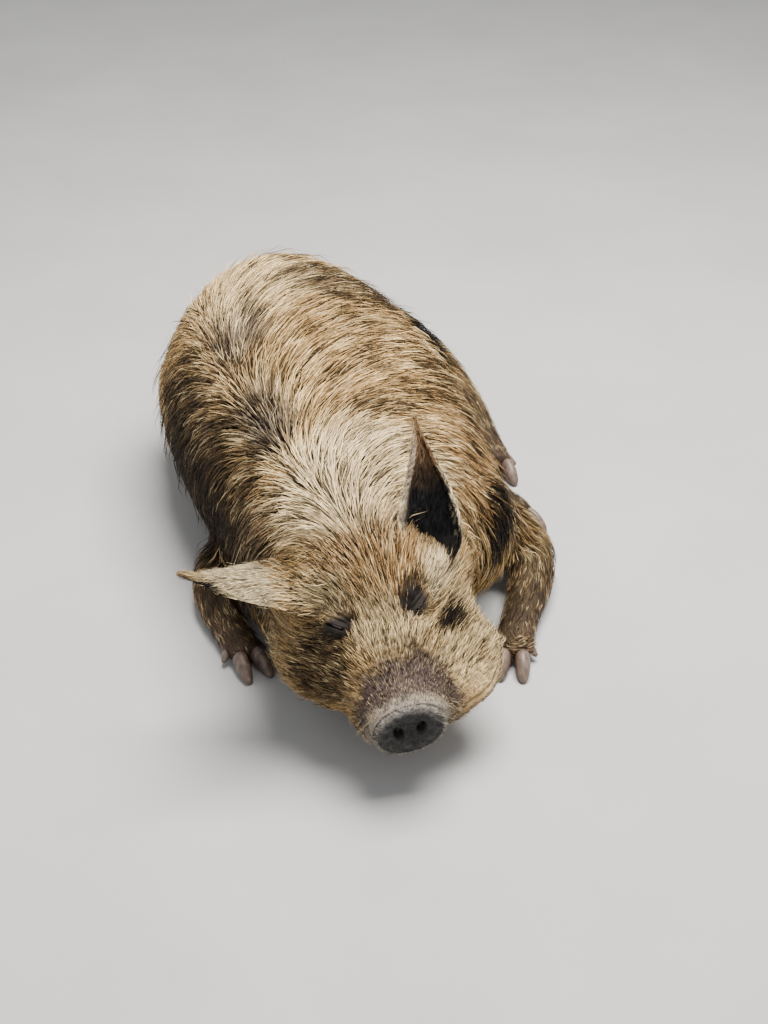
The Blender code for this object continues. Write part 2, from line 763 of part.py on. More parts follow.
def fuse_into(thing, pieces, solver="EXACT"):
    """Joins closed pieces to an object with one union on a collection."""
    group = bpy.data.collections.new("pieces")
    bpy.context.scene.collection.children.link(group)
    for piece in pieces:
        bpy.context.scene.collection.objects.unlink(piece)
        group.objects.link(piece)
    boolean(thing, group, "UNION", solver)
    remove(pieces)
    bpy.data.collections.remove(group)
    keep_largest(thing, "EAR_CLIP" if solver == "MANIFOLD" else "BEAUTY")


def disc_frame():
    """The snout disc's frame: Y runs out of the disc, Z up, leant back by its tilt."""
    turn = (head_frame().to_3x3() @ Matrix.Rotation(math.pi, 3, "Z")
            @ Matrix.Rotation(math.radians(DISC_TILT), 3, "X"))
    return Matrix.Translation(head_point(MUZZLE_END, 0, DISC_Z)) @ turn.to_4x4()


def snout_disc():
    """The flat rooting disc with its rounded rim and two nostrils."""
    frame = disc_frame()
    turn = frame.to_3x3()
    across = turn @ Vector((1, 0, 0))
    up = turn @ Vector((0, 0, 1))
    rings = []
    for out, scale in DISC_PROFILE:
        rings.append(ring(frame @ Vector((0, out, 0)), across, up,
                          DISC_HALF[0] * scale, DISC_HALF[1] * scale, sides=22))
    disc = loft("snout", rings)
    for side in (-1, 1):
        tool = ellipsoid("nostril", frame @ Vector((side * NOSTRIL_OUT, DISC_THICK, NOSTRIL_UP)),
                         NOSTRIL_HALF, frame, rings=6)
        boolean(disc, tool, "DIFFERENCE")
        remove([tool])
    keep_largest(disc)
    return disc


def square_muzzle(head):
    """Cuts the muzzle's end flat where the disc sits."""
    frame = disc_frame()
    tool = block("muzzle_end", frame.translation, frame.to_3x3(),
                 (-MUZZLE_BLOCK, -GAP, -MUZZLE_BLOCK), (MUZZLE_BLOCK, MUZZLE_BLOCK, MUZZLE_BLOCK))
    boolean(head, tool, "DIFFERENCE")
    remove([tool])
    keep_largest(head)


def eye_place(side):
    return head_point(EYE_S, side * EYE_SIDE, EYE_Z)


def eye_turn(side):
    """The eye looks out to its side, forward and a little up; Y runs out of it."""
    look = head_frame().to_3x3() @ Vector((side * EYE_LOOK[0], -EYE_LOOK[1], EYE_LOOK[2]))
    up = head_frame().to_3x3() @ Vector((0, 0, 1))
    return facing(look, up)


def eyes_and_lids(head):
    """Sets both eyes in the head behind nearly closed lids."""
    made = []
    for name, side in (("eye_left", 1), ("eye_right", -1)):
        turn = eye_turn(side)
        place = eye_place(side)
        lid = ellipsoid("lid", place, LID_HALF, turn, rings=8)
        fuse_into(head, [lid])
        ball = ellipsoid(name, place - turn @ Vector((0, EYE_SUNK, 0)),
                         (EYE_R, EYE_R, EYE_R), turn, rings=6)
        slope = turn @ Matrix.Rotation(math.radians(side * SLIT_SLOPE), 3, "Y")
        middle = place + turn @ Vector((SLIT_SHIFT[0], EYE_R, SLIT_SHIFT[1]))
        slit = ellipsoid("slit", middle, SLIT_HALF, slope, rings=5)
        socket = grown(ball)
        boolean(head, socket, "DIFFERENCE")
        boolean(head, slit, "DIFFERENCE")
        remove([socket, slit])
        keep_largest(head)
        made.append(ball)
    return made


def mouth_line(head):
    """Cuts the line of the mouth as a groove along both lips."""
    surface = BVHTree.FromObject(head, bpy.context.evaluated_depsgraph_get())
    points = []
    for k in range(-MOUTH_STEPS, MOUTH_STEPS + 1):
        angle = k / MOUTH_STEPS * math.radians(MOUTH_TURN)
        core = head_point(MOUTH_CORE, 0, -MOUTH_DROP + MOUTH_RISE * abs(k / MOUTH_STEPS) ** 2)
        out = head_frame().to_3x3() @ Vector((math.sin(angle), -math.cos(angle), 0))
        hit = surface.ray_cast(core, out)[0]
        if hit:
            points.append(hit)
    rings = []
    up = head_frame().to_3x3() @ Vector((0, 0, 1))
    for i, here in enumerate(points):
        along = points[min(i + 1, len(points) - 1)] - points[max(i - 1, 0)]
        across = along.cross(up).normalized()
        rings.append(ring(here, across, up, MOUTH_DEEP, MOUTH_WIDE, sides=6))
    groove = loft("groove", rings)
    boolean(head, groove, "DIFFERENCE")
    remove([groove])
    keep_largest(head)


def ear_half_width(out):
    """Half the ear's width at a share of its length."""
    swell = EAR_SWELL[0] + EAR_SWELL[1] * out
    return max(EAR_TIP, EAR_WIDTH / 2 * (1 - out) ** EAR_TAPER * swell)


def ear(name):
    """A cupped ear: a curved leaf as thick as the real one, thin at its edge."""
    root, along, cup, fold, length = EARS[name]
    root = head_point(*root)
    along = Vector(along).normalized()
    across = along.cross(Vector(cup)).normalized()
    cup = across.cross(along)
    shape = bmesh.new()
    sides = {1: [], -1: []}
    for i in range(EAR_ROWS + 1):
        u = -EAR_ROOT + (1 + EAR_ROOT) * i / EAR_ROWS
        out = max(u, 0.0)
        wide = ear_half_width(out)
        deep = EAR_CUP * (1 - 0.65 * out) * wide / (EAR_WIDTH / 2)
        bend = fold * out ** 2
        for face in (1, -1):
            row = []
            for j in range(EAR_COLUMNS + 1):
                v = 2 * j / EAR_COLUMNS - 1
                thick = EAR_THICK * (1 - 0.55 * out) * (1 - 0.75 * v * v) + EAR_EDGE
                place = (root + along * (length * u) + across * (wide * v * (1 - 0.12 * out))
                         - cup * (deep * (1 - v * v)) + cup * (bend * length)
                         + cup * (face * thick / 2))
                row.append(shape.verts.new(place))
            sides[face].append(row)
    for face in (1, -1):
        rows = sides[face]
        for a, b in zip(rows, rows[1:]):
            for j in range(EAR_COLUMNS):
                shape.faces.new((a[j], a[j + 1], b[j + 1]))
                shape.faces.new((a[j], b[j + 1], b[j]))
    front, back = sides[1], sides[-1]
    for i in range(EAR_ROWS):
        for j in (0, EAR_COLUMNS):
            shape.faces.new((front[i][j], front[i + 1][j], back[i + 1][j], back[i][j]))
    for i in (0, EAR_ROWS):
        for j in range(EAR_COLUMNS):
            shape.faces.new((front[i][j], front[i][j + 1], back[i][j + 1], back[i][j]))
    bmesh.ops.remove_doubles(shape, verts=shape.verts, dist=0.00005)
    return object_from(name, shape)


def claw(name, start, along, profile, sides, length, half_w, half_h):
    """One claw of a hoof: a blunt wedge that narrows to its toe."""
    across = along.cross(Vector((0, 0, 1))).normalized()
    up = across.cross(along)
    rings = []
    for t, w, h, drop in profile:
        middle = start + along * (length * t) - up * (half_h * drop)
        rings.append(ring(middle, across, up, half_w * w, half_h * h, sides=sides))
    return loft(name, rings)


def hooves(feet):
    """Two claws and two dewclaws for each leg, each let into its foot."""
    made = []
    for name, foot in feet.items():
        end, along = leg_end(name)
        along = Vector((along.x, along.y, 0)).normalized()
        side_way = along.cross(Vector((0, 0, 1))).normalized()
        for label, side in (("outer", 1), ("inner", -1)):
            start = end - along * CLAW_IN + side_way * (side * CLAW_SPREAD)
            start.z = CLAW_HALF[1] - CLAW_FLAT
            point = (along + side_way * (side * CLAW_TURN)).normalized()
            main = claw(f"claw_{label}_{name[4:]}", start, point, CLAW_PROFILE, 8,
                        CLAW_LENGTH, *CLAW_HALF)
            start = end - along * DEWCLAW_BACK + side_way * (side * DEWCLAW_SPREAD)
            start.z = DEWCLAW_Z
            ahead, outward, down = DEWCLAW_WAY
            point = (along * ahead + side_way * (side * outward) - Vector((0, 0, down))).normalized()
            small = claw(f"dewclaw_{label}_{name[4:]}", start, point, DEWCLAW_PROFILE, 6,
                         DEWCLAW_LENGTH, *DEWCLAW_HALF)
            for vert in main.data.vertices:
                vert.co.z = max(vert.co.z, 0.0)
            for piece in (main, small):
                carve(foot, piece)
                made.append(piece)
    return made


def tail():
    return limb("tail", TAIL, sides=8, step=3)


COLOURS = {
    "coat": ((0.50, 0.37, 0.22), 0.75),
    "snout": ((0.045, 0.038, 0.036), 0.45),
    "eye": ((0.03, 0.018, 0.012), 0.12),
    "claw": ((0.10, 0.08, 0.065), 0.5),
}


def finish(things):
    """Gives every node its own material and smooth shading."""
    for thing in things:
        kind = "coat"
        for word in ("snout", "eye", "claw"):
            if word in thing.name:
                kind = word
        colour, roughness = COLOURS[kind]
        thing.data.materials.clear()
        thing.data.materials.append(material(thing.name + "_look", colour, roughness))
        thing.data.shade_smooth()
        thing.data.set_sharp_from_angle(angle=math.radians(40))


def coats(body, parts, made, surface):
    """Grows the coat node by node; each node's locks stay clear of the nodes done before."""
    draw = random.Random(LOCK_SEED)
    head, neck = parts["head"], parts["neck"]
    legs = [parts[name] for name in LEGS]
    others = {thing.name: thing for thing in made}

    def off_cuts(place):
        offsets = [(place - Vector(cut[1]), Vector(cut[2]).normalized()) for cut in CUTS + (FOOT_CUT,)]
        return all(abs(offset.dot(normal)) > CUT_CLEAR or offset.length > CUT_REACH
                   for offset, normal in offsets)

    def on_trunk(place, normal):
        return place.z > LOW_FLANK and normal.z > UNDERSIDE and off_cuts(place)

    def on_head(place, normal):
        local = head_frame().inverted() @ place
        return -local.y < BARE_MUZZLE and place.z > LOW_FLANK and off_cuts(place)

    def on_leg(place, normal):
        return place.z > BARE_FOOT and off_cuts(place)

    ears_made = [others["ear_left"], others["ear_right"]]
    guards = [ellipsoid("guard", eye_place(side), (EYE_BARE, EYE_BARE, EYE_BARE)) for side in (-1, 1)]
    face = [others["snout"]] + guards + ears_made
    grow_coat(body, "torso", body_lie, on_trunk,
              [neck, head, others["tail"]] + legs, surface, draw)
    grow_coat(neck, "neck", body_lie, on_trunk,
              [body, head] + ears_made + legs, surface, draw)
    grow_coat(head, "head", head_lie, on_head, [neck, body] + face + legs, surface, draw)
    for name in LEGS:
        foot_near = [thing for thing in made if thing.name.endswith(name[4:])]
        rest = [leg for leg in legs if leg.name != name]
        grow_coat(parts[name], "leg", leg_lie(name), on_leg,
                  [body, neck, head] + foot_near + rest, surface, draw)
    remove(guards)


def centre_on_floor(things):
    """Moves the whole animal so that the origin is under the middle of its box."""
    corners = [vert.co for thing in things for vert in thing.data.vertices]
    low = Vector([min(corner[i] for corner in corners) for i in range(3)])
    high = Vector([max(corner[i] for corner in corners) for i in range(3)])
    shift = Vector((-(low.x + high.x) / 2, -(low.y + high.y) / 2, -low.z))
    for thing in things:
        thing.data.transform(Matrix.Translation(shift))


def main():
    clear_scene()
    things = [torso_loft(), head_loft()] + torso_masses() + head_masses()
    for name, stations in LEGS.items():
        things.append(limb(name, stations))
    body = fuse(things)
    keep_largest(body)
    sink_skin(body)
    thin_out(body, FLESH_FACES)
    flatten(body)
    keep_largest(body)
    surface = tree_of(body)
    parts = {}
    body.name = "torso"
    for cut in CUTS:
        parts[cut[0]], body = part_off(body, *cut)
    foot, parts["leg_hind_left"] = part_off(parts["leg_hind_left"], *FOOT_CUT)
    head, neck = parts["head"], parts["neck"]
    square_muzzle(head)
    mouth_line(head)
    made = [snout_disc()] + eyes_and_lids(head)
    for name in EARS:
        leaf = ear(name)
        carve(leaf, head)
        carve(leaf, neck)
        made.append(leaf)
    tail_node = tail()
    carve(tail_node, body)
    made.append(tail_node)
    feet = {name: parts[name] for name in LEGS}
    feet["leg_hind_left"] = foot
    made += hooves(feet) + [foot]
    coats(body, parts, made, surface)
    nodes = made + [body] + list(parts.values())
    centre_on_floor(nodes)
    finish(nodes)


main()
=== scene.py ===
"""Looks of an adult domestic pig with a bristly coat, lying half on its right side.

Metres, +Z up. The forms are written in the pig's own frame, where it faces -Y and its left side is +X,
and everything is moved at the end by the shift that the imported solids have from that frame.
"""
import json
import math

import bmesh
import bpy
import numpy as np
from mathutils import Matrix, Vector, noise
from mathutils.bvhtree import BVHTree
from mathutils.kdtree import KDTree

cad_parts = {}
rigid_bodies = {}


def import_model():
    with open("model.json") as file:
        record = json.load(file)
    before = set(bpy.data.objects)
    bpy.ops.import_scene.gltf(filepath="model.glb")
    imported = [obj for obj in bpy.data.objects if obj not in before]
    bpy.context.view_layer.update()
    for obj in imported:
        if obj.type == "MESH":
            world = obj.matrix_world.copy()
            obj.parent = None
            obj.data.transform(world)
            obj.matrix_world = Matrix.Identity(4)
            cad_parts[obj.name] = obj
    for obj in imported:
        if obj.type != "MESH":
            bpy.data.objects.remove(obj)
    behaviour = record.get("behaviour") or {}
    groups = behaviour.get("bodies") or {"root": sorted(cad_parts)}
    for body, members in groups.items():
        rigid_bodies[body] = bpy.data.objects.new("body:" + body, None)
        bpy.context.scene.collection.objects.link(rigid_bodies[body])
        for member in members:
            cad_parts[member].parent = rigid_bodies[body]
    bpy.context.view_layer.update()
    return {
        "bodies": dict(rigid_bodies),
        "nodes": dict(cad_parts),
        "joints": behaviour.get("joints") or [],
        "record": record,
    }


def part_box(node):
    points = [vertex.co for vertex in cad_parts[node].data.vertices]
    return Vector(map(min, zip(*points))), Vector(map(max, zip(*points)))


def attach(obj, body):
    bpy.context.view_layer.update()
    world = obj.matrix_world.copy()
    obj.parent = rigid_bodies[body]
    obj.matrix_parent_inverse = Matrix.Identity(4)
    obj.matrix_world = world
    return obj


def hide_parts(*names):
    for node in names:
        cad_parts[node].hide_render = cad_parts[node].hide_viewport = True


# Sizes of the forms as in the solids, and of finer forms that only the skin has.
TORSO_RINGS = (
    (0.600, 0.030, 0.235, 0.030, 0.035, 38),
    (0.572, 0.030, 0.234, 0.095, 0.094, 38),
    (0.505, 0.030, 0.228, 0.168, 0.150, 38),
    (0.380, 0.030, 0.218, 0.222, 0.192, 36),
    (0.180, 0.032, 0.214, 0.240, 0.213, 32),
    (-0.040, 0.036, 0.208, 0.226, 0.208, 26),
    (-0.180, 0.016, 0.210, 0.200, 0.198, 14),
    (-0.290, -0.024, 0.216, 0.160, 0.166, 4),
    (-0.370, -0.046, 0.214, 0.122, 0.126, 0),
)
TORSO_MASSES = (
    ((0.150, -0.130, 0.190), (0.110, 0.140, 0.130)),
    ((-0.095, -0.130, 0.150), (0.090, 0.140, 0.120)),
    ((0.140, 0.420, 0.225), (0.135, 0.150, 0.130)),
    ((-0.050, 0.430, 0.155), (0.125, 0.150, 0.130)),
    ((0.105, 0.100, 0.120), (0.175, 0.270, 0.125)),
    ((-0.030, -0.270, 0.262), (0.110, 0.150, 0.092)),
    ((0.010, -0.290, 0.076), (0.112, 0.120, 0.084)),
)
HEAD_AT = Vector((-0.046, -0.306, 0.232))
HEAD_PITCH = 26.0
HEAD_YAW = -2.0
HEAD_ROLL = -9.0
HEAD_RINGS = (
    (-0.130, -0.020, 0.115, 0.110),
    (-0.060, -0.008, 0.128, 0.120),
    (0.000, 0.000, 0.126, 0.110),
    (0.050, -0.006, 0.118, 0.096),
    (0.100, -0.018, 0.101, 0.078),
    (0.150, -0.024, 0.082, 0.062),
    (0.195, -0.022, 0.067, 0.053),
    (0.232, -0.016, 0.058, 0.047),
)
# Masses on both sides of the head, then the single ones: s forward, side, z, and half sizes.
HEAD_PAIRS = (
    ((0.040, 0.088, -0.058), (0.068, 0.094, 0.068)),
    ((0.100, 0.070, -0.040), (0.050, 0.066, 0.044)),
    ((0.050, 0.060, 0.052), (0.030, 0.034, 0.020)),
    ((0.172, 0.046, -0.044), (0.028, 0.050, 0.021)),
)
HEAD_SINGLES = (
    ((0.118, 0.100, -0.060), (0.070, 0.088, 0.050)),
    ((0.178, 0.066, -0.062), (0.048, 0.042, 0.036)),
    ((-0.020, 0.000, 0.046), (0.092, 0.080, 0.046)),
    ((0.160, 0.010, -0.078), (0.054, 0.068, 0.034)),
    ((0.010, 0.000, -0.098), (0.110, 0.112, 0.074)),
)
LEGS = {
    "front_left": (
        ((0.150, -0.080, 0.170), 0.080, 0.075),
        ((0.250, -0.065, 0.115), 0.062, 0.060),
        ((0.322, -0.080, 0.068), 0.047, 0.048),
        ((0.300, -0.145, 0.041), 0.038, 0.038),
        ((0.252, -0.215, 0.032), 0.030, 0.030),
        ((0.218, -0.268, 0.029), 0.031, 0.029),
        ((0.203, -0.298, 0.026), 0.028, 0.026),
    ),
    "front_right": (
        ((-0.070, 0.000, 0.130), 0.070, 0.070),
        ((-0.130, 0.050, 0.085), 0.056, 0.055),
        ((-0.176, 0.042, 0.047), 0.043, 0.043),
        ((-0.196, -0.020, 0.033), 0.034, 0.034),
        ((-0.194, -0.085, 0.027), 0.028, 0.028),
        ((-0.188, -0.130, 0.026), 0.029, 0.027),
        ((-0.184, -0.158, 0.025), 0.027, 0.026),
    ),
    "hind_left": (
        ((0.120, 0.380, 0.225), 0.115, 0.105),
        ((0.220, 0.425, 0.215), 0.098, 0.088),
        ((0.312, 0.462, 0.172), 0.068, 0.062),
        ((0.382, 0.470, 0.118), 0.047, 0.046),
        ((0.416, 0.415, 0.070), 0.036, 0.038),
        ((0.420, 0.325, 0.034), 0.029, 0.030),
        ((0.414, 0.262, 0.028), 0.030, 0.029),
        ((0.410, 0.230, 0.025), 0.028, 0.026),
    ),
    "hind_right": (
        ((0.120, 0.250, 0.100), 0.080, 0.075),
        ((0.205, 0.245, 0.072), 0.062, 0.058),
        ((0.275, 0.222, 0.044), 0.045, 0.045),
        ((0.326, 0.178, 0.034), 0.035, 0.036),
        ((0.358, 0.122, 0.028), 0.028, 0.029),
        ((0.372, 0.085, 0.027), 0.029, 0.028),
        ((0.380, 0.058, 0.025), 0.027, 0.026),
    ),
}
TAIL = (
    ((0.000, 0.545, 0.272), 0.018, 0.018),
    ((0.000, 0.592, 0.272), 0.016, 0.016),
    ((0.008, 0.622, 0.250), 0.013, 0.013),
    ((0.020, 0.638, 0.215), 0.011, 0.011),
    ((0.036, 0.642, 0.180), 0.009, 0.009),
    ((0.054, 0.636, 0.160), 0.007, 0.007),
    ((0.066, 0.628, 0.168), 0.005, 0.005),
    ((0.064, 0.624, 0.186), 0.003, 0.003),
)
MUZZLE_END = 0.226
MUZZLE_FLARE = 0.07     # the muzzle widens a little toward the disc
MUZZLE_LIP = 0.0055     # and its edge stands this far round it
DISC_TILT = 22.0
DISC_HALF = (0.050, 0.042)
DISC_Z = -0.012
NOSTRIL_OUT = 0.0165
NOSTRIL_HALF = (0.0066, 0.0096)
NOSTRIL_UP = 0.002
NOSTRIL_SLANT = 0.30    # the nostrils rise outward
EYES = {"eye_left": 1, "eye_right": -1}  # the side of each, left is +1
EYE_R = 0.0120
EYE_S = 0.078
EYE_SIDE = 0.060
EYE_Z = 0.050
EYE_SUNK = 0.0045
EYE_LOOK = (0.62, -0.62, 0.48)          # out to the side, forward and up
SLIT_SLOPE = 5.0
MOUTH_DROP = 0.052
MOUTH_CORE = 0.150
MOUTH_TURN = 118.0
MOUTH_RISE = 0.018
EAR_WIDTH = 0.112
EAR_THICK = 0.0062
EAR_CUP = 0.030
EAR_ROOT = 0.16
EAR_TIP = 0.0026
EAR_TAPER = 1.6
EAR_SWELL = (0.74, 2.40)
EAR_EDGE = 0.0008
EAR_RIB = 0.0011
EAR_WAVE = 0.0022       # how much its edge waves
EAR_FLATTER = 0.65      # how much shallower the cup is at the ear's tip
EAR_NARROWER = 0.12     # and how much narrower the leaf is there, besides its outline
# Each ear: its root on the head, the way along it, the way its cup faces, its tip's bend, its length.
EARS = {
    "ear_left": ((0.030, 0.096, 0.052), (0.006, 0.287, 0.958), (0.10, -0.90, 0.25), -0.10, 0.212),
    "ear_right": ((0.008, -0.094, 0.050), (-0.90, 0.10, 0.18), (-0.10, 0.05, -0.99), -0.10, 0.172),
}
# How far an ear's root dips into the head, and the share of its length over which it does.
EAR_SINK = {"ear_left": (0.0, -0.010, -0.004), "ear_right": (0.0, 0.014, -0.046)}
EAR_DIP_END = 0.62
EAR_HAIR_FROM = -0.14   # hair from this share of the ear's length on
EAR_SKIN_SHADE = 0.7    # the skin under the hair is this much darker
EAR_DARK_SHARE = 0.10   # share of dark hairs
EAR_LENGTHS = ((-0.1, 0.052), (0.05, 0.044), (0.30, 0.026), (0.8, 0.022), (1, 0.026))
# The hair over the right ear's root: its middle on the head, reach, density and lift.
COVER_AT = (0.008, -0.086, 0.064)
COVER_REACH = 0.062
COVER_DENSITY = 230000
COVER_LIFT = 0.42
COVER_WANDER = 0.16
# Between these shares of its length an ear widens from its rounded root.
EAR_ROUND = {"ear_left": (-0.06, 0.12), "ear_right": (-0.18, 0.02)}
# Where along the ear the cup's black begins, and where it ends and its tan begins.
CUP_FROM = {"ear_left": (-0.03, 0.05), "ear_right": (0.10, 0.30)}
CUP_BLACK = {"ear_left": (0.45, 0.80), "ear_right": (0.80, 0.94)}
CLAW_PROFILE = ((0.0, 0.90, 0.80, 0.0), (0.25, 1.0, 1.0, 0.0), (0.60, 0.92, 0.86, 0.14),
                (0.88, 0.66, 0.52, 0.42), (1.0, 0.30, 0.24, 0.62))
DEWCLAW_PROFILE = ((0.0, 0.90, 0.80, 0.0), (0.45, 1.0, 1.0, 0.0), (1.0, 0.45, 0.40, 0.50))
CLAW_LENGTH = 0.050
CLAW_HALF = (0.0120, 0.0190)
CLAW_IN = 0.010
CLAW_FLAT = 0.0012
CLAW_SPREAD = 0.0135
DEWCLAW_LENGTH = 0.024
DEWCLAW_HALF = (0.0070, 0.0075)
DEWCLAW_BACK = 0.034
DEWCLAW_SPREAD = 0.0190
DEWCLAW_Z = 0.020
CLAW_TURN = 0.10        # the two claws of a foot point apart by this
DEWCLAW_WAY = (0.62, 0.72, 0.16)        # along the foot, out to the side and down

# The skin.
SKIN_VOXEL = 0.0050
SKIN_SMOOTH = 40        # keeps the solids' roundness at the finer cell
SKIN_UNDER = 0.0012     # the skin lies this much inside the solids' flesh
FINE_FACE = 0.030       # the skin's mesh is finer in front of these places on the head
FINE_MUZZLE = 0.165
FINE_EYE = 0.034        # and nearer than this to an eye
FINEST_EYE = 0.022
COAT_DEPTH = 0.011      # the skin lies this far under the tips of the coat
COAT_DEPTH_HEAD = 0.004
BARE_MUZZLE = 0.130     # from here forward the skin isn't drawn in
MUZZLE_Y = -0.35        # the muzzle's bare skin and whiskers lie in front of this y
BEHIND_HEAD = -0.34     # mud and pink feet are only seen behind this y
CUP_DENT = (0.011, 0.034)               # the dent in front of the left ear's cup: depth, reach

# The coat: tufts for each square metre of skin, and their sizes.
DENSITY = {"body": 52000, "head": 225000, "leg": 36000}
HAIR_TO_DISC = 0.013    # hair grows up to this far along the disc's edge
HAIR_FROM_Z = 0.006     # and from this height over the floor
EYE_BARE = 0.0135       # little hair nearer than this to an eye
UNDERSIDE_THIN = 0.75   # how much of the coat is left out under the body
EAR_TUFTS = 9240
TAIL_TUFTS = 700
PIECE_FACES = 180000    # most triangles in one coat piece
PATCH = 0.003           # each tuft's patch on the unwrap
CLUMP_EACH = 9          # tufts that lean together
CLUMP_PULL = 0.52       # how far, as a share of the way
TURN_SPREAD = 0.15      # how much the tufts' directions differ
BEND_SPREAD = 0.14      # how much they bend sideways
ROLL_SPREAD = 0.5       # and roll about their length
BLADE_THICK = 0.7       # a blade's ridge stands this high, as a share of its half width
TIP_HEIGHT = 0.0012     # no tuft's station lies lower than this
STRAY_SHARE = 0.05      # tufts that stand out of the coat
STRAY_RISE = 2.1
MARK_BLUR = 0.006       # how far hairs of two markings mix at their edge
DARK_HAIR = (0.010, 0.006, 0.004)
DARK_EDGE = 0.05        # how softly dark and bright hairs part
PALE_STRENGTH = 0.80    # how pale the palest hairs are
TONE_SPREAD = (0.58, 1.30)              # each tuft's brightness
MIDDLE_BRIGHT = 0.80    # the middle of a tuft, as a share of its tone
TIP_BRIGHT = 1.22       # and its tip
GOLDEN = 0.28           # how golden the tips of some dark hairs are
REACH_SPREAD = (0.50, 1.35)             # how differently high the tufts stand
SEED = 7

# How long the tufts are: on the face by distance forward, down a leg by share of it, on cheek and trunk.
FACE_LENGTHS = ((-0.05, 0.062), (0.02, 0.048), (0.07, 0.036), (0.11, 0.027), (0.15, 0.018), (0.19, 0.012),
                (0.22, 0.009))
LEG_LENGTHS = ((0.2, 0.050), (0.5, 0.034), (0.8, 0.020), (1.0, 0.012))
CHEEK_LENGTH = 0.034
BODY_LENGTH = 0.074
# A tuft's width by its length, and how high it stands as a share of its length.
WIDTHS = ((0.006, 0.0005), (0.012, 0.0006), (0.030, 0.0008), (0.050, 0.0011), (0.070, 0.0017))
STAND = {"body": 0.15, "head": 0.17, "leg": 0.14}

LEFT_CUP_FOOT = (0.004, 0.102, 0.086)   # the head's surface in front of the left ear's cup
RIGHT_EAR_FOOT = (0.006, -0.118, 0.060)

# The ridge from which the hair parts: y along the spine, the trunk's middle x and z, and the ridge's roll.
RIDGE = (
    (-0.400, -0.050, 0.214, 5),
    (-0.320, -0.033, 0.215, 17),
    (-0.240, -0.005, 0.213, 32),
    (-0.140, 0.023, 0.209, 40),
    (0.000, 0.036, 0.209, 45),
    (0.250, 0.031, 0.215, 46),
    (0.500, 0.030, 0.228, 44),
    (0.620, 0.030, 0.235, 42),
)
LIE_FLANK = 98.0        # degrees between hair and spine low on a flank
LIE_TURN = 0.42         # how fast the hair turns away from the ridge, in radians round the trunk
LIE_RUMP = 1.2          # how much it hangs at the rump
EYE_PUSH = 1.5          # how strongly hair turns away from an eye
EAR_PULL = 2.5          # and along the right ear at its root

# Colours, as linear values.
CREAM = (0.94, 0.76, 0.45)
IVORY = (0.97, 0.83, 0.55)
STRAW = (0.62, 0.41, 0.18)
GINGER = (0.32, 0.170, 0.068)
UMBER = (0.150, 0.088, 0.044)
EARTH = (0.055, 0.034, 0.020)
SLATE = (0.085, 0.088, 0.095)
BLACK = (0.008, 0.008, 0.009)
MAUVE = (0.098, 0.072, 0.066)
PINK = (0.26, 0.15, 0.115)
LID = (0.060, 0.052, 0.052)
FRINGE = (0.30, 0.27, 0.225)
CUP_EDGE = (0.42, 0.36, 0.29)
RIM_HAIR = (0.78, 0.72, 0.62)
LEATHER = (0.012, 0.012, 0.013)
LEATHER_PALE = (0.230, 0.215, 0.200)
# The skin's darkest tone under the coat, which carries painted shade of the hair.
UNDERSKIN = (0.008, 0.006, 0.005)

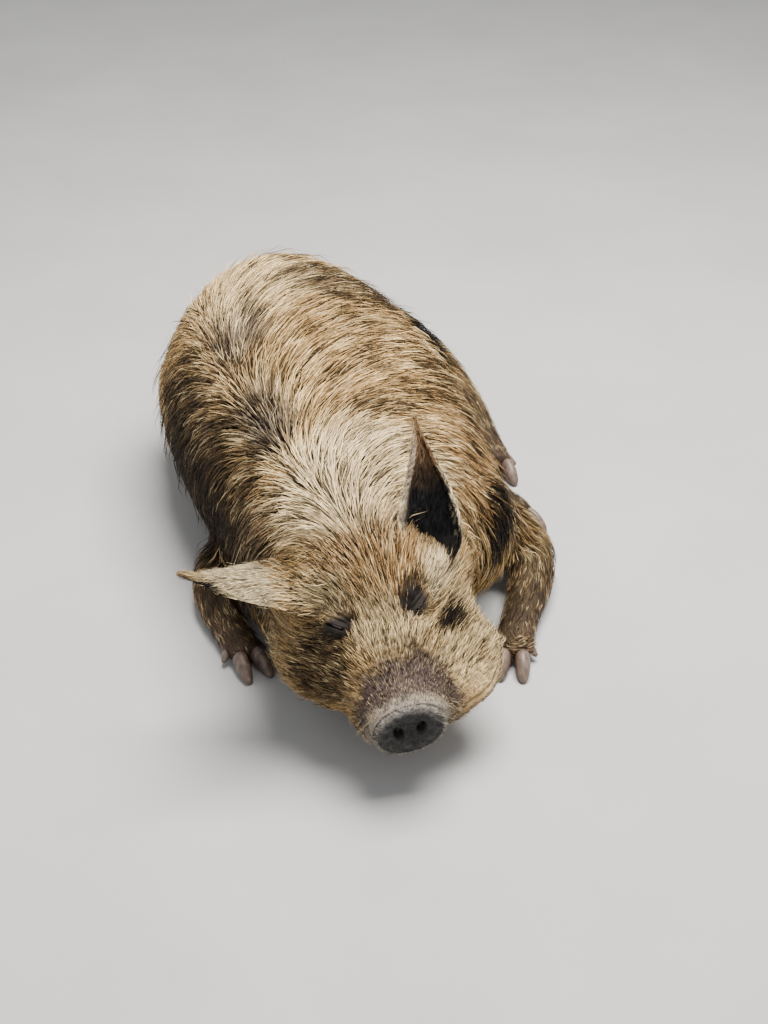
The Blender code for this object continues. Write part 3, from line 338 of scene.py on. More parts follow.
# Markings, each laid over the ones before: place, half sizes, colour, strength, share of dark hair.
MARKS = (
    # The first two marks, on the right side, stand for dark hair and also for painted shade on the side
    # turned from the light.
    ("side_right_dark_and_shaded", (-0.190, 0.080, 0.300), (0.070, 0.330, 0.070), EARTH, 0.70, 0.66),
    ("flank_right_dark_and_shaded", (-0.225, 0.040, 0.190), (0.085, 0.360, 0.125), EARTH, 1.00, 0.90),
    ("rump_right", (-0.110, 0.430, 0.330), (0.100, 0.120, 0.100), STRAW, 0.70, 0.22),
    ("rump_top", (-0.030, 0.350, 0.400), (0.095, 0.130, 0.060), CREAM, 0.60, 0.24),
    ("rump_left", (0.115, 0.295, 0.412), (0.130, 0.110, 0.075), EARTH, 0.78, 0.68),
    ("back_left", (0.100, 0.050, 0.410), (0.085, 0.180, 0.070), STRAW, 0.70, 0.50),
    ("side_left", (0.185, -0.040, 0.370), (0.050, 0.160, 0.060), EARTH, 0.45, 0.55),
    ("flank_left", (0.275, 0.120, 0.230), (0.090, 0.360, 0.130), EARTH, 0.75, 0.62),
    ("slate_rear", (-0.085, 0.200, 0.375), (0.042, 0.080, 0.035), SLATE, 0.75, 0.55),
    ("slate_front", (-0.108, -0.055, 0.357), (0.036, 0.095, 0.040), SLATE, 0.75, 0.55),
    ("slate_streak", (0.000, -0.128, 0.402), (0.055, 0.024, 0.030), UMBER, 0.75, 0.60),
    ("crest", (-0.045, -0.270, 0.375), (0.140, 0.110, 0.085), IVORY, 0.72, 0.14),
    ("neck_right", (-0.180, -0.215, 0.270), (0.050, 0.110, 0.090), UMBER, 0.80, 0.62),
    ("shoulder_tan", (0.145, -0.190, 0.345), (0.070, 0.120, 0.080), GINGER, 0.55, 0.22),
    ("hip_streaks", (0.165, 0.275, 0.400), (0.060, 0.060, 0.045), EARTH, 0.70, 0.65),
    ("hip_black", (0.240, 0.345, 0.335), (0.080, 0.070, 0.065), BLACK, 0.90, 0.85),
    ("thigh_black", (0.325, 0.430, 0.235), (0.085, 0.080, 0.090), BLACK, 1.00, 0.85),
    ("shoulder_black", (0.192, -0.215, 0.258), (0.032, 0.052, 0.080), BLACK, 1.00, 0.85),
    ("forehead", (-0.055, -0.380, 0.305), (0.085, 0.055, 0.065), GINGER, 0.65, 0.42),
    ("brow_right", (-0.124, -0.372, 0.272), (0.044, 0.040, 0.030), CREAM, 0.65, 0.22),
    ("temple_left", (0.045, -0.377, 0.270), (0.036, 0.040, 0.038), IVORY, 0.80, 0.16),
    ("nose_back", (-0.048, -0.428, 0.238), (0.060, 0.035, 0.040), CREAM, 0.70, 0.24),
    ("cheek_left", (0.087, -0.420, 0.170), (0.080, 0.070, 0.080), CREAM, 0.62, 0.34),
    ("cheek_right", (-0.135, -0.405, 0.175), (0.044, 0.050, 0.055), EARTH, 0.75, 0.62),
    ("under_eye", (0.042, -0.407, 0.206), (0.046, 0.030, 0.017), BLACK, 1.00, 0.95),
    ("eye_left", (-0.010, -0.413, 0.259), (0.022, 0.022, 0.028), LID, 0.95, 0.60),
    ("eye_right", (-0.114, -0.405, 0.233), (0.028, 0.020, 0.019), LID, 0.95, 0.75),
    ("chin", (-0.020, -0.440, 0.065), (0.120, 0.090, 0.055), UMBER, 0.70, 0.45),
)
# Toward the floor: mud, then the feet's pink skin. Heights, colour, share of dark hair.
LOW_MARKS = ((0.13, 0.06, EARTH, 0.50), (0.055, 0.030, PINK, 0.30))
# The muzzle's dark zone: place and half sizes.
MUZZLE_DARK = ((-0.040, -0.500, 0.135), (0.085, 0.075, 0.095))
# Bare skin round the eyes: places and half sizes.
BARE_LIDS = (
    ((-0.012, -0.413, 0.261), (0.016, 0.018, 0.024)),
    ((-0.114, -0.405, 0.233), (0.026, 0.018, 0.017)),
)
SPINE_GREY = 0.30       # how strongly the hair along the ridge is greyed
SPINE_WIDE = 0.16       # how wide that grey is, in radians round the trunk
SPINE_DARK = 0.45       # and its share of dark hairs
BASE_DARK = 0.30        # share of dark hairs where no marking lies
MARK_EDGE = (1.22, 0.74)                # a marking fades between these shares of its half size
MUZZLE_DRIFT = 0.007    # how uneven the edge of the muzzle's dark zone is
MUZZLE_EDGE = (1.20, 0.88)


def move_to(points, matrix):
    """Applies a matrix to an array of points."""
    full = np.array(matrix)
    return points @ full[:3, :3].T + full[:3, 3]


def turned(rows, frame):
    """Turns directions out of a frame."""
    return rows @ np.array(frame.to_3x3()).T


def unit(rows):
    return rows / np.maximum(np.linalg.norm(rows, axis=1, keepdims=True), 1e-9)


def ramp(value, low, high):
    """Smooth step from 0 at low to 1 at high; low may be the larger."""
    t = np.clip((value - low) / (high - low), 0, 1)
    return t * t * (3 - 2 * t)


def bell(value, width):
    """1 at 0, falling off on both sides over a width."""
    return np.exp(-(value / width) ** 2)


def far_from(places, point):
    """Distance of each place from a point."""
    return np.linalg.norm(places - np.array(point), axis=1)


def stretched_far(places, middle, half):
    """Distance from a middle, as a share of an ellipsoid's half sizes."""
    return np.linalg.norm((places - np.array(middle)) / np.array(half), axis=1)


def level(heading, normals):
    """Directions laid flat on a surface."""
    return heading - normals * (heading * normals).sum(1, keepdims=True)


def add_object(name, data):
    made = bpy.data.objects.new(name, data)
    bpy.context.scene.collection.objects.link(made)
    return made


def object_from(name, shape):
    """Turns a bmesh into an object and frees the bmesh."""
    bmesh.ops.recalc_face_normals(shape, faces=shape.faces)
    mesh = bpy.data.meshes.new(name)
    shape.to_mesh(mesh)
    shape.free()
    return add_object(name, mesh)


def remove(things):
    for thing in list(things):
        bpy.data.objects.remove(thing, do_unlink=True)


def apply_modifiers(thing):
    graph = bpy.context.evaluated_depsgraph_get()
    mesh = bpy.data.meshes.new_from_object(thing.evaluated_get(graph))
    thing.modifiers.clear()
    thing.data = mesh


def join_all(name, things):
    shape = bmesh.new()
    for thing in things:
        shape.from_mesh(thing.data)
    remove(things)
    return object_from(name, shape)


def smooth_path(values, step):
    """Catmull-Rom values between the rows of a table, one row for each step."""
    rows = [tuple(row) for row in values]
    ends = [rows[0]] + rows + [rows[-1]]
    path = []
    for i in range(len(rows) - 1):
        a, b, c, d = ends[i:i + 4]
        for k in range(step):
            t = k / step
            path.append(tuple(
                0.5 * (2 * q + (r - p) * t + (2 * p - 5 * q + 4 * r - s) * t * t
                       + (3 * q - p - 3 * r + s) * t ** 3)
                for p, q, r, s in zip(a, b, c, d)))
    path.append(rows[-1])
    return path


def bridge(shape, loops):
    """Joins each closed loop of corners with the next."""
    for a, b in zip(loops, loops[1:]):
        for i in range(len(a)):
            j = (i + 1) % len(a)
            shape.faces.new((a[i], a[j], b[j], b[i]))


def loft(name, rings):
    """Bridges rings of points into a closed tube with its ends filled."""
    shape = bmesh.new()
    loops = [[shape.verts.new(point) for point in ring] for ring in rings]
    bridge(shape, loops)
    shape.faces.new(loops[0])
    shape.faces.new(list(reversed(loops[-1])))
    return object_from(name, shape)


def ring(middle, across, up, half_w, half_h, sides=48, turn=0.0):
    """An elliptical ring of points round a middle, turned by an angle in radians."""
    points = []
    for i in range(sides):
        angle = 2 * math.pi * i / sides
        x = half_w * math.cos(angle)
        z = half_h * math.sin(angle)
        points.append(middle + across * (x * math.cos(turn) - z * math.sin(turn))
                      + up * (x * math.sin(turn) + z * math.cos(turn)))
    return points


def ellipsoid(name, middle, half, frame=None, rings=20):
    """A ball stretched to three half sizes, along a frame's axes if one is given."""
    shape = bmesh.new()
    bmesh.ops.create_uvsphere(shape, u_segments=rings * 2, v_segments=rings, radius=1.0)
    turn = frame.to_3x3().to_4x4() if frame else Matrix.Identity(4)
    place = Matrix.Translation(middle) @ turn @ Matrix.Diagonal((*half, 1.0))
    bmesh.ops.transform(shape, matrix=place, verts=shape.verts)
    return object_from(name, shape)


def path_of(stations, step):
    """Places with half width and half depth along a limb, as rows of an array."""
    return np.array(smooth_path([(*place, wide, deep) for place, wide, deep in stations], step))


def limb(name, stations, sides=28, step=8):
    """A round limb along stations of place, half width and half depth."""
    path = path_of(stations, step)
    rings = []
    for i, row in enumerate(path):
        here = Vector(row[:3])
        before = Vector(path[max(i - 1, 0)][:3])
        after = Vector(path[min(i + 1, len(path) - 1)][:3])
        along = (after - before).normalized()
        across = along.cross(Vector((0, 0, 1))).normalized()
        rings.append(ring(here, across, across.cross(along), row[3], row[4], sides))
    return loft(name, rings)


def head_frame():
    """The head's own frame: -Y forward, X to its left, Z up."""
    turn = (Matrix.Rotation(math.radians(HEAD_YAW), 4, "Z")
            @ Matrix.Rotation(math.radians(HEAD_PITCH), 4, "X")
            @ Matrix.Rotation(math.radians(HEAD_ROLL), 4, "Y"))
    return Matrix.Translation(HEAD_AT) @ turn


def head_point(s, side, z):
    return head_frame() @ Vector((side, -s, z))


def head_local(points):
    """Distance forward, to the left and up, in the head's frame, for an array of points."""
    local = move_to(points, head_frame().inverted())
    return -local[:, 1], local[:, 0], local[:, 2]


def facing(direction, up=(0, 0, 1)):
    """A turn whose Y axis runs along a direction."""
    y = Vector(direction).normalized()
    x = y.cross(Vector(up)).normalized()
    return Matrix((x, y, x.cross(y))).transposed()


def eye_place(side):
    return head_point(EYE_S, side * EYE_SIDE, EYE_Z)


def eye_turn(side):
    """The eye looks out to its side, forward and a little up; Y runs out of it."""
    look = head_frame().to_3x3() @ Vector((side * EYE_LOOK[0], EYE_LOOK[1], EYE_LOOK[2]))
    up = head_frame().to_3x3() @ Vector((0, 0, 1))
    return facing(look, up)


def eye_local(points, side):
    """Places round an eye: across the lids, out of the head, and up."""
    frame = Matrix.Translation(eye_place(side)) @ eye_turn(side).to_4x4()
    local = move_to(points, frame.inverted())
    return local[:, 0], local[:, 1], local[:, 2]


def disc_frame():
    """The snout disc's frame: Y runs out of the disc, Z up, leant back by its tilt."""
    turn = (head_frame().to_3x3() @ Matrix.Rotation(math.pi, 3, "Z")
            @ Matrix.Rotation(math.radians(DISC_TILT), 3, "X"))
    return Matrix.Translation(head_point(MUZZLE_END, 0, DISC_Z)) @ turn.to_4x4()


# The skin's form.

def flesh():
    """All masses of the body, fused and smoothed into one closed skin."""
    rings = [ring(Vector((x, y, z)), Vector((1, 0, 0)), Vector((0, 0, 1)), half_w, half_h,
                  turn=math.radians(roll))
             for y, x, z, half_w, half_h, roll in smooth_path(TORSO_RINGS, 5)]
    things = [loft("torso", rings)]
    frame = head_frame()
    across = frame.to_3x3() @ Vector((1, 0, 0))
    up = frame.to_3x3() @ Vector((0, 0, 1))
    things.append(loft("head", [ring(head_point(s, 0, z), across, up, half_w, half_h)
                                for s, z, half_w, half_h in smooth_path(HEAD_RINGS, 5)]))
    things += [ellipsoid("mass", Vector(middle), half) for middle, half in TORSO_MASSES]
    for (s, side, z), half in HEAD_PAIRS:
        things += [ellipsoid("mass", head_point(s, side * sign, z), half, frame) for sign in (-1, 1)]
    things += [ellipsoid("mass", head_point(*place), half, frame) for place, half in HEAD_SINGLES]
    things += [limb("leg", stations) for stations in LEGS.values()]
    whole = join_all("skin", things)
    change = whole.modifiers.new("remesh", "REMESH")
    change.mode = "VOXEL"
    change.voxel_size = SKIN_VOXEL
    apply_modifiers(whole)
    change = whole.modifiers.new("smooth", "SMOOTH")
    change.factor = 0.5
    change.iterations = SKIN_SMOOTH
    apply_modifiers(whole)
    return whole


def mesh_arrays(mesh):
    """Places and normals of a mesh's corners."""
    count = len(mesh.vertices)
    places = np.empty(count * 3)
    normals = np.empty(count * 3)
    mesh.vertices.foreach_get("co", places)
    mesh.vertices.foreach_get("normal", normals)
    return places.reshape(-1, 3), normals.reshape(-1, 3)


def set_places(mesh, places):
    mesh.vertices.foreach_set("co", places.ravel())
    mesh.update()


def coat_depth(places):
    """How far the skin lies under the coat's tips."""
    forward = head_local(places)[0]
    on_head = ramp(forward, -0.05, 0.02) * ramp(places[:, 1], -0.27, -0.31)
    head = COAT_DEPTH_HEAD * ramp(BARE_MUZZLE - forward, 0.0, 0.05)
    body = COAT_DEPTH * np.clip((places[:, 2] - 0.03) / 0.06, 0, 1)
    return head * on_head + body * (1 - on_head)


def refine(mesh, wanted):
    """Splits the faces whose middles are wanted into four."""
    shape = bmesh.new()
    shape.from_mesh(mesh)
    middles = np.array([face.calc_center_median() for face in shape.faces])
    chosen = wanted(middles)
    edges = set()
    for face, take in zip(shape.faces, chosen):
        if take:
            edges.update(face.edges)
    bmesh.ops.subdivide_edges(shape, edges=list(edges), cuts=1, use_grid_fill=True)
    shape.to_mesh(mesh)
    shape.free()


def eye_far(places):
    """Distance from the nearer eye."""
    return np.minimum(far_from(places, eye_place(-1)), far_from(places, eye_place(1)))


def mouth_offset(places):
    """Height over the mouth's line and how far along the lips a place is, 0 in front and 1 at a corner."""
    s, side, z = head_local(places)
    along = np.abs(np.arctan2(side, s - MOUTH_CORE)) / math.radians(MOUTH_TURN)
    line = -MOUTH_DROP + MOUTH_RISE * np.minimum(along, 1) ** 2
    return z - line, along


# The lids: their half sizes, swell and slit; the rims on both sides of it; the creases above and below.
LID_HALF = (0.022, 0.014)
LID_SWELL = 0.0055
SLIT_DEEP = 0.0078
SLIT_WIDE = 0.0016
SLIT_END = (0.0150, 0.0105)             # the slit fades between these distances
LID_EDGE = 0.0012
LID_EDGE_END = (0.0170, 0.0120)         # and its rims between these
LID_EDGES = ((0.0034, 0.0018), (-0.0032, 0.0016))
LID_CREASES = ((0.0090, 0.0030, 0.0018), (0.0150, 0.0028, 0.0020), (0.0210, 0.0020, 0.0022),
               (-0.0095, 0.0028, 0.0018), (-0.0150, 0.0024, 0.0020))
CREASE_HALF = 0.026     # the creases bend toward the slit over this distance
EYE_SPOKES = 0.0012
EYE_BEHIND = 0.03       # no lid farther than this in front of the ball or behind it
LIP_GROOVE = (0.0042, 0.0016)           # depth and half width of the line of the mouth
LIP_SWELL = (0.0016, 0.006, 0.004)      # height of a lip, how far from the line, half width
FOLD_EACH = 0.0105      # from fold to fold on the muzzle
FOLD_HIGH = 0.0006
BRIDGE_EACH = 0.014     # and on the bridge of the nose
BRIDGE_HIGH = 0.0011


def face_relief(places):
    """Lids, lips and folds of the face, as heights along the skin's normals."""
    s, side, z = head_local(places)
    height = np.zeros(len(places))
    for sign in (-1, 1):
        x, out, up = eye_local(places, sign)
        here = np.abs(out) < EYE_BEHIND
        near = bell(x, 0.030) * bell(up, 0.026) * here
        slant = up - x * math.tan(math.radians(-sign * SLIT_SLOPE))
        ball = np.sqrt(np.maximum(0, 1 - (x / LID_HALF[0]) ** 2 - (slant / LID_HALF[1]) ** 2))
        height += LID_SWELL * ball * here
        slit = bell(slant, SLIT_WIDE) * ramp(np.abs(x), *SLIT_END)
        height -= SLIT_DEEP * slit * here
        for lift, wide in LID_EDGES:
            height += LID_EDGE * bell(slant - lift, wide) * ramp(np.abs(x), *LID_EDGE_END) * near
        for lift, deep, wide in LID_CREASES:
            curve = slant - lift * (1 - 0.5 * (x / CREASE_HALF) ** 2)
            height -= deep * bell(curve, wide) * near
        spokes = np.sin(np.arctan2(up, x) * 9 + 1.2) * bell(np.hypot(x, up) - 0.025, 0.008)
        height += EYE_SPOKES * spokes * here
    foot = far_from(places, head_point(*LEFT_CUP_FOOT))
    height -= CUP_DENT[0] * bell(foot, CUP_DENT[1])
    gap, along = mouth_offset(places)
    lips = ramp(s, 0.08, 0.10) * ramp(along, 1.05, 0.92)
    height -= LIP_GROOVE[0] * bell(gap, LIP_GROOVE[1]) * lips
    high, away, wide = LIP_SWELL
    height += high * (bell(gap - away, wide) + bell(gap + away, wide)) * lips
    muzzle = ramp(s, 0.155, 0.185) * ramp(z, -0.040, -0.015)
    fold = (s - 0.02 * (side / 0.05) ** 2 + 0.002 * wobble(places, 0.02, 1.4)) * 2 * math.pi / FOLD_EACH
    height += FOLD_HIGH * np.sin(fold) * muzzle * (0.5 + 0.5 * wobble(places, 0.03, 0.4))
    bridge = ramp(s, 0.095, 0.115) * ramp(s, 0.165, 0.145) * bell(side, 0.05) * ramp(z, 0, 0.02)
    height += BRIDGE_HIGH * np.sin(s * 2 * math.pi / BRIDGE_EACH + 14 * side) * bridge
    return height


# Broad folds of the body: a place on each, its normal, depth, half width and reach.
FOLDS = (
    ((0.150, -0.255, 0.200), (0.25, -0.95, -0.10), 0.0090, 0.016, 0.150),
    ((-0.150, -0.250, 0.200), (-0.25, -0.95, -0.10), 0.0080, 0.016, 0.140),
    ((0.165, -0.190, 0.240), (0.35, -0.90, 0.10), 0.0050, 0.014, 0.110),
    ((0.235, -0.040, 0.150), (0.70, 0.70, 0.00), 0.0070, 0.018, 0.090),
    ((0.240, 0.320, 0.200), (0.60, -0.80, 0.00), 0.0070, 0.020, 0.110),
    ((0.010, -0.330, 0.330), (0.00, 0.90, 0.40), 0.0030, 0.014, 0.090),
)
FOLD_BULGE = 0.4        # height of the bulge beside a fold, as a share of the fold's depth
FOLD_AWAY = 1.8         # and how far it lies from it, in half widths
BODY_UNEVEN = 0.0016


def body_relief(places):
    """Broad folds at the neck, elbow and stifle, and the slight unevenness of a fat body."""
    height = np.zeros(len(places))
    for middle, normal, deep, wide, reach in FOLDS:
        offset = places - np.array(middle)
        across = offset @ (np.array(normal) / np.linalg.norm(normal))
        far = np.linalg.norm(offset, axis=1)
        height -= deep * bell(across, wide) * ramp(far, reach, reach * 0.4)
        height += FOLD_BULGE * deep * bell(across - FOLD_AWAY * wide, wide) * ramp(far, reach, reach * 0.4)
    x, y, z = places.T
    height += BODY_UNEVEN * np.sin(17 * y + 9 * z) * np.sin(21 * x - 8 * y + 1.0)
    return height


def make_skin():
    """The body's skin: fine at the face, drawn in under the coat, with its relief."""
    skin = flesh()
    mesh = skin.data
    refine(mesh, lambda middles: head_local(middles)[0] > FINE_FACE)
    refine(mesh, lambda middles: (eye_far(middles) < FINE_EYE) | (head_local(middles)[0] > FINE_MUZZLE))
    refine(mesh, lambda middles: eye_far(middles) < FINEST_EYE)
    places, normals = mesh_arrays(mesh)
    places = places - normals * (coat_depth(places) + SKIN_UNDER)[:, None]
    set_places(mesh, places)
    normals = mesh_arrays(mesh)[1]
    places = places + normals * (face_relief(places) + body_relief(places))[:, None]
    end = disc_frame()
    local = move_to(places, end.inverted())
    flare = 1 + MUZZLE_FLARE * ramp(local[:, 1], -0.026, -0.004)
    local[:, 0] *= flare
    local[:, 2] *= flare
    edge = np.hypot(local[:, 0] / DISC_HALF[0], local[:, 2] / DISC_HALF[1])
    local[:, 1] = np.minimum(local[:, 1], 0.0010 + MUZZLE_LIP * ramp(edge, 0.99, 1.05))
    places = move_to(local, end)
    places[:, 2] = np.maximum(places[:, 2], 0.0)
    set_places(mesh, places)
    mesh.shade_smooth()
    return skin


# Markings, the same on skin and coat.

def wobble(places, step, phase):
    """A smooth random-looking field from crossing waves, between about -1 and 1."""
    x, y, z = (places / step).T
    return (np.sin(1.9 * x + 1.1 * y + phase) * np.sin(1.3 * y - 1.7 * z + 2.1 * phase)
            + np.sin(2.3 * z + 0.9 * x - phase) * np.sin(1.6 * y + 0.7 * x + 0.5 * phase)) * 0.7


def drift(places, step, phases):
    """A smooth random-looking shift of each place in x, y and z."""
    return np.stack([wobble(places, step, phase) for phase in phases], 1)


def ridge_place(places):
    """Angle from the ridge and distance from the trunk's middle line."""
    table = np.array(RIDGE)
    y = places[:, 1]
    x, z, roll = (np.interp(y, table[:, 0], table[:, k]) for k in (1, 2, 3))
    roll = np.radians(roll)
    zero = np.zeros(len(y))
    up = np.stack([-np.sin(roll), zero, np.cos(roll)], 1)
    side = np.stack([np.cos(roll), zero, np.sin(roll)], 1)
    out = np.stack([places[:, 0] - x, zero, places[:, 2] - z], 1)
    angle = np.arctan2((out * side).sum(1), (out * up).sum(1))
    return angle, side, up


def markings(places):
    """Colour of the hair at a place, and the share of dark hairs there."""
    waves = drift(places, 0.030, (0.3, 1.7, 2.9))
    colour = np.tile(STRAW, (len(places), 1))
    dark = np.full(len(places), BASE_DARK)

    def lay(weight, tone, share):
        colour[:] = colour * (1 - weight[:, None]) + np.array(tone) * weight[:, None]
        dark[:] = dark * (1 - weight) + share * weight

    angle, _, _ = ridge_place(places)
    along = ramp(places[:, 1], -0.20, -0.08) * ramp(places[:, 1], 0.42, 0.30)
    near = bell(angle + 0.04 * wobble(places, 0.05, 4), SPINE_WIDE)
    lay(SPINE_GREY * near * along, SLATE, SPINE_DARK)
    for _, middle, half, tone, strength, share in MARKS:
        shifted = places + waves * min(0.010, 0.20 * min(half))
        far = stretched_far(shifted, middle, half)
        lay(strength * ramp(far, *MARK_EDGE), tone, share)
    lay(muzzle_share(places), MAUVE, 0.45)
    lay(0.75 * disc_share(places), FRINGE, 0.35)
    for high, low, tone, share in LOW_MARKS:
        lay(0.60 * ramp(places[:, 2], high, low) * (places[:, 1] > BEHIND_HEAD), tone, share)
    return colour, dark


def muzzle_share(places):
    """How far a place lies in the dark, thin-haired part of the muzzle."""
    shifted = places + MUZZLE_DRIFT * drift(places, 0.016, (0.9, 2.3, 3.1))
    return ramp(stretched_far(shifted, *MUZZLE_DARK), *MUZZLE_EDGE)


def disc_local(places):
    """Places in the disc's frame, and how far out each is as a share of the disc's size."""
    local = move_to(places, disc_frame().inverted())
    return local, np.hypot(local[:, 0] / DISC_HALF[0], local[:, 2] / DISC_HALF[1])


def disc_share(places):
    """How far a place lies in the pale fringe round the disc."""
    local, edge = disc_local(places)
    return ramp(local[:, 1], -0.012, -0.001) * ramp(edge, 1.6, 1.4)


# The lie of the hair.

def body_lie(places, normals):
    """Along the back the hair runs backward; it turns away down the flanks and over the rump."""
    angle, side, up = ridge_place(places)
    away = side * np.cos(angle)[:, None] - up * np.sin(angle)[:, None]
    away *= np.where(angle < 0, -1.0, 1.0)[:, None]
    share = 1 - np.exp(-np.abs(angle) / LIE_TURN)
    swing = np.radians((LIE_FLANK + 14 * wobble(places, 0.085, 0.8)) * share)
    lie = np.array((0.0, 1.0, 0.0)) * np.cos(swing)[:, None] + away * np.sin(swing)[:, None]
    lie[:, 2] -= LIE_RUMP * np.maximum(0, normals[:, 1]) ** 2
    return unit(lie)


def head_lie(places, normals):
    """From the snout back over the face, out over the cheeks and round the eyes."""
    s, side, z = head_local(places)
    spread = np.clip(side / 0.10, -1, 1)
    drop = -0.75 * np.clip((0.03 - z) / 0.08, 0, 1)
    local = np.stack([0.80 * spread + 0.18 * wobble(places, 0.04, 2.2), np.ones(len(s)), drop], 1)
    lie = turned(local, head_frame())
    for sign in (-1, 1):
        offset = places - np.array(eye_place(sign))
        far = np.linalg.norm(offset, axis=1)
        lie += EYE_PUSH * (offset / np.maximum(far, 1e-4)[:, None]) * bell(far, 0.032)[:, None]
    near = bell(far_from(places, head_point(*RIGHT_EAR_FOOT)), 0.055)
    lie += EAR_PULL * np.array(EARS["ear_right"][1]) * near[:, None]
    return unit(lie)


def leg_share(places, stations):
    """How much a place belongs to a leg, and the leg's direction there."""
    path = path_of(stations, 4)
    offset = places[:, None, :] - path[None, :, :3]
    far = np.linalg.norm(offset, axis=2) / np.maximum(path[None, :, 3], path[None, :, 4])
    near = far.argmin(1)
    heads = np.gradient(path[:, :3], axis=0)
    share = ramp(far.min(1), 1.50, 1.12) * ramp(near, 3, 7)
    return share, unit(heads[near]), near / (len(path) - 1)


def regions(places):
    """Shares of head, legs and trunk at each place."""
    s = head_local(places)[0]
    head = ramp(s, -0.055, 0.005) * ramp(places[:, 1], -0.26, -0.31)
    legs = np.zeros(len(places))
    direction = np.zeros_like(places)
    down = np.zeros(len(places))
    for stations in LEGS.values():
        share, heading, far = leg_share(places, stations)
        share = share * (1 - head)
        direction += heading * share[:, None]
        down = np.where(share > legs, far, down)
        legs = np.maximum(legs, share)
    return head, legs, direction, down


def trunk_share(head, legs):
    return np.clip(1 - head - legs, 0, 1)


def lie_of(places, normals):
    """The direction of the hair along the skin at each place."""
    head, legs, direction, _ = regions(places)
    lie = (head_lie(places, normals) * head[:, None] + direction
           + body_lie(places, normals) * trunk_share(head, legs)[:, None])
    return unit(level(lie, normals))


def coat_sizes(places):
    """Length, width and standing height of the tufts at each place."""
    head, legs, _, down = regions(places)
    s, side, z = head_local(places)
    face = np.interp(s, *zip(*FACE_LENGTHS))
    cheek = ramp(np.abs(side), 0.05, 0.09) * ramp(z, 0.02, -0.03) * ramp(s, 0.19, 0.13)
    face = face + (CHEEK_LENGTH - face) * cheek * ramp(face, 0.0, 0.02)
    face *= 0.28 + 0.72 * ramp(eye_far(places), 0.018, 0.042)
    face *= 1 - 0.25 * muzzle_share(places)
    face *= 0.28 + 0.72 * ramp(far_from(places, head_point(*LEFT_CUP_FOOT)), 0.026, 0.054)
    face += 0.026 * bell(far_from(places, head_point(*RIGHT_EAR_FOOT)), 0.045)
    body = BODY_LENGTH + 0.008 * ramp(places[:, 1], 0.30, 0.50) + 0.008 * wobble(places, 0.10, 5)
    leg = np.interp(down, *zip(*LEG_LENGTHS))
    trunk = trunk_share(head, legs)
    long = face * head + leg * legs + body * trunk
    stand = long * (STAND["body"] * trunk + STAND["head"] * head + STAND["leg"] * legs)
    return long, np.interp(long, *zip(*WIDTHS)), stand


# Tufts.

def sample(mesh, density, draw):
    """Places spread over a mesh by the density of each of its triangles."""
    mesh.calc_loop_triangles()
    count = len(mesh.loop_triangles)
    corners = np.empty(count * 3, dtype=np.int32)
    mesh.loop_triangles.foreach_get("vertices", corners)
    corners = corners.reshape(-1, 3)
    places, normals = mesh_arrays(mesh)
    a, b, c = (places[corners[:, k]] for k in range(3))
    areas = np.linalg.norm(np.cross(b - a, c - a), axis=1) / 2
    middles = (a + b + c) / 3
    facing_way = unit(np.cross(b - a, c - a))
    total = np.cumsum(areas * density(middles, facing_way))
    wanted = int(total[-1])
    picks = np.searchsorted(total, (np.arange(wanted) + draw.random(wanted)) * total[-1] / wanted)
    picks = np.minimum(picks, count - 1)
    p, q = draw.random(wanted), draw.random(wanted)
    flip = p + q > 1
    p, q = np.where(flip, 1 - p, p), np.where(flip, 1 - q, q)
    roots = a[picks] * (1 - p - q)[:, None] + b[picks] * p[:, None] + c[picks] * q[:, None]
    na, nb, nc = (normals[corners[picks, k]] for k in range(3))
    return roots, unit(na * (1 - p - q)[:, None] + nb * p[:, None] + nc * q[:, None])


def area_of(mesh):
    return sum(face.area for face in mesh.polygons)


def tree_of(*meshes):
    """A search tree over one or more meshes."""
    shape = bmesh.new()
    for mesh in meshes:
        shape.from_mesh(mesh)
    tree = BVHTree.FromBMesh(shape)
    shape.free()
    return tree


def nearest_on(tree, points):
    """The nearest places and normals on a surface for an array of points."""
    places = np.empty_like(points)
    normals = np.empty_like(points)
    for i, point in enumerate(points):
        place, normal, _, _ = tree.find_nearest(point)
        places[i] = place
        normals[i] = normal
    return places, normals


def clump_of(roots, draw):
    """For each root, the tuft toward which it leans."""
    leaders = draw.choice(len(roots), max(1, len(roots) // CLUMP_EACH), replace=False)
    tree = KDTree(len(leaders))
    for k, leader in enumerate(leaders):
        tree.insert(roots[leader], k)
    tree.balance()
    return np.array([leaders[tree.find(root)[1]] for root in roots])


# Along a tuft: share of its length, of its standing height and of its width; the last is its tip.
LONG_TUFT = ((0.0, -0.10, 0.62), (0.38, 0.50, 1.0), (0.74, 0.86, 0.66), (1.0, 1.0, 0.0))
SHORT_TUFT = ((0.0, -0.10, 0.80), (0.50, 0.66, 1.0), (1.0, 1.0, 0.0))
ROOT_SUNK = 0.0022      # a tuft starts this far under the skin


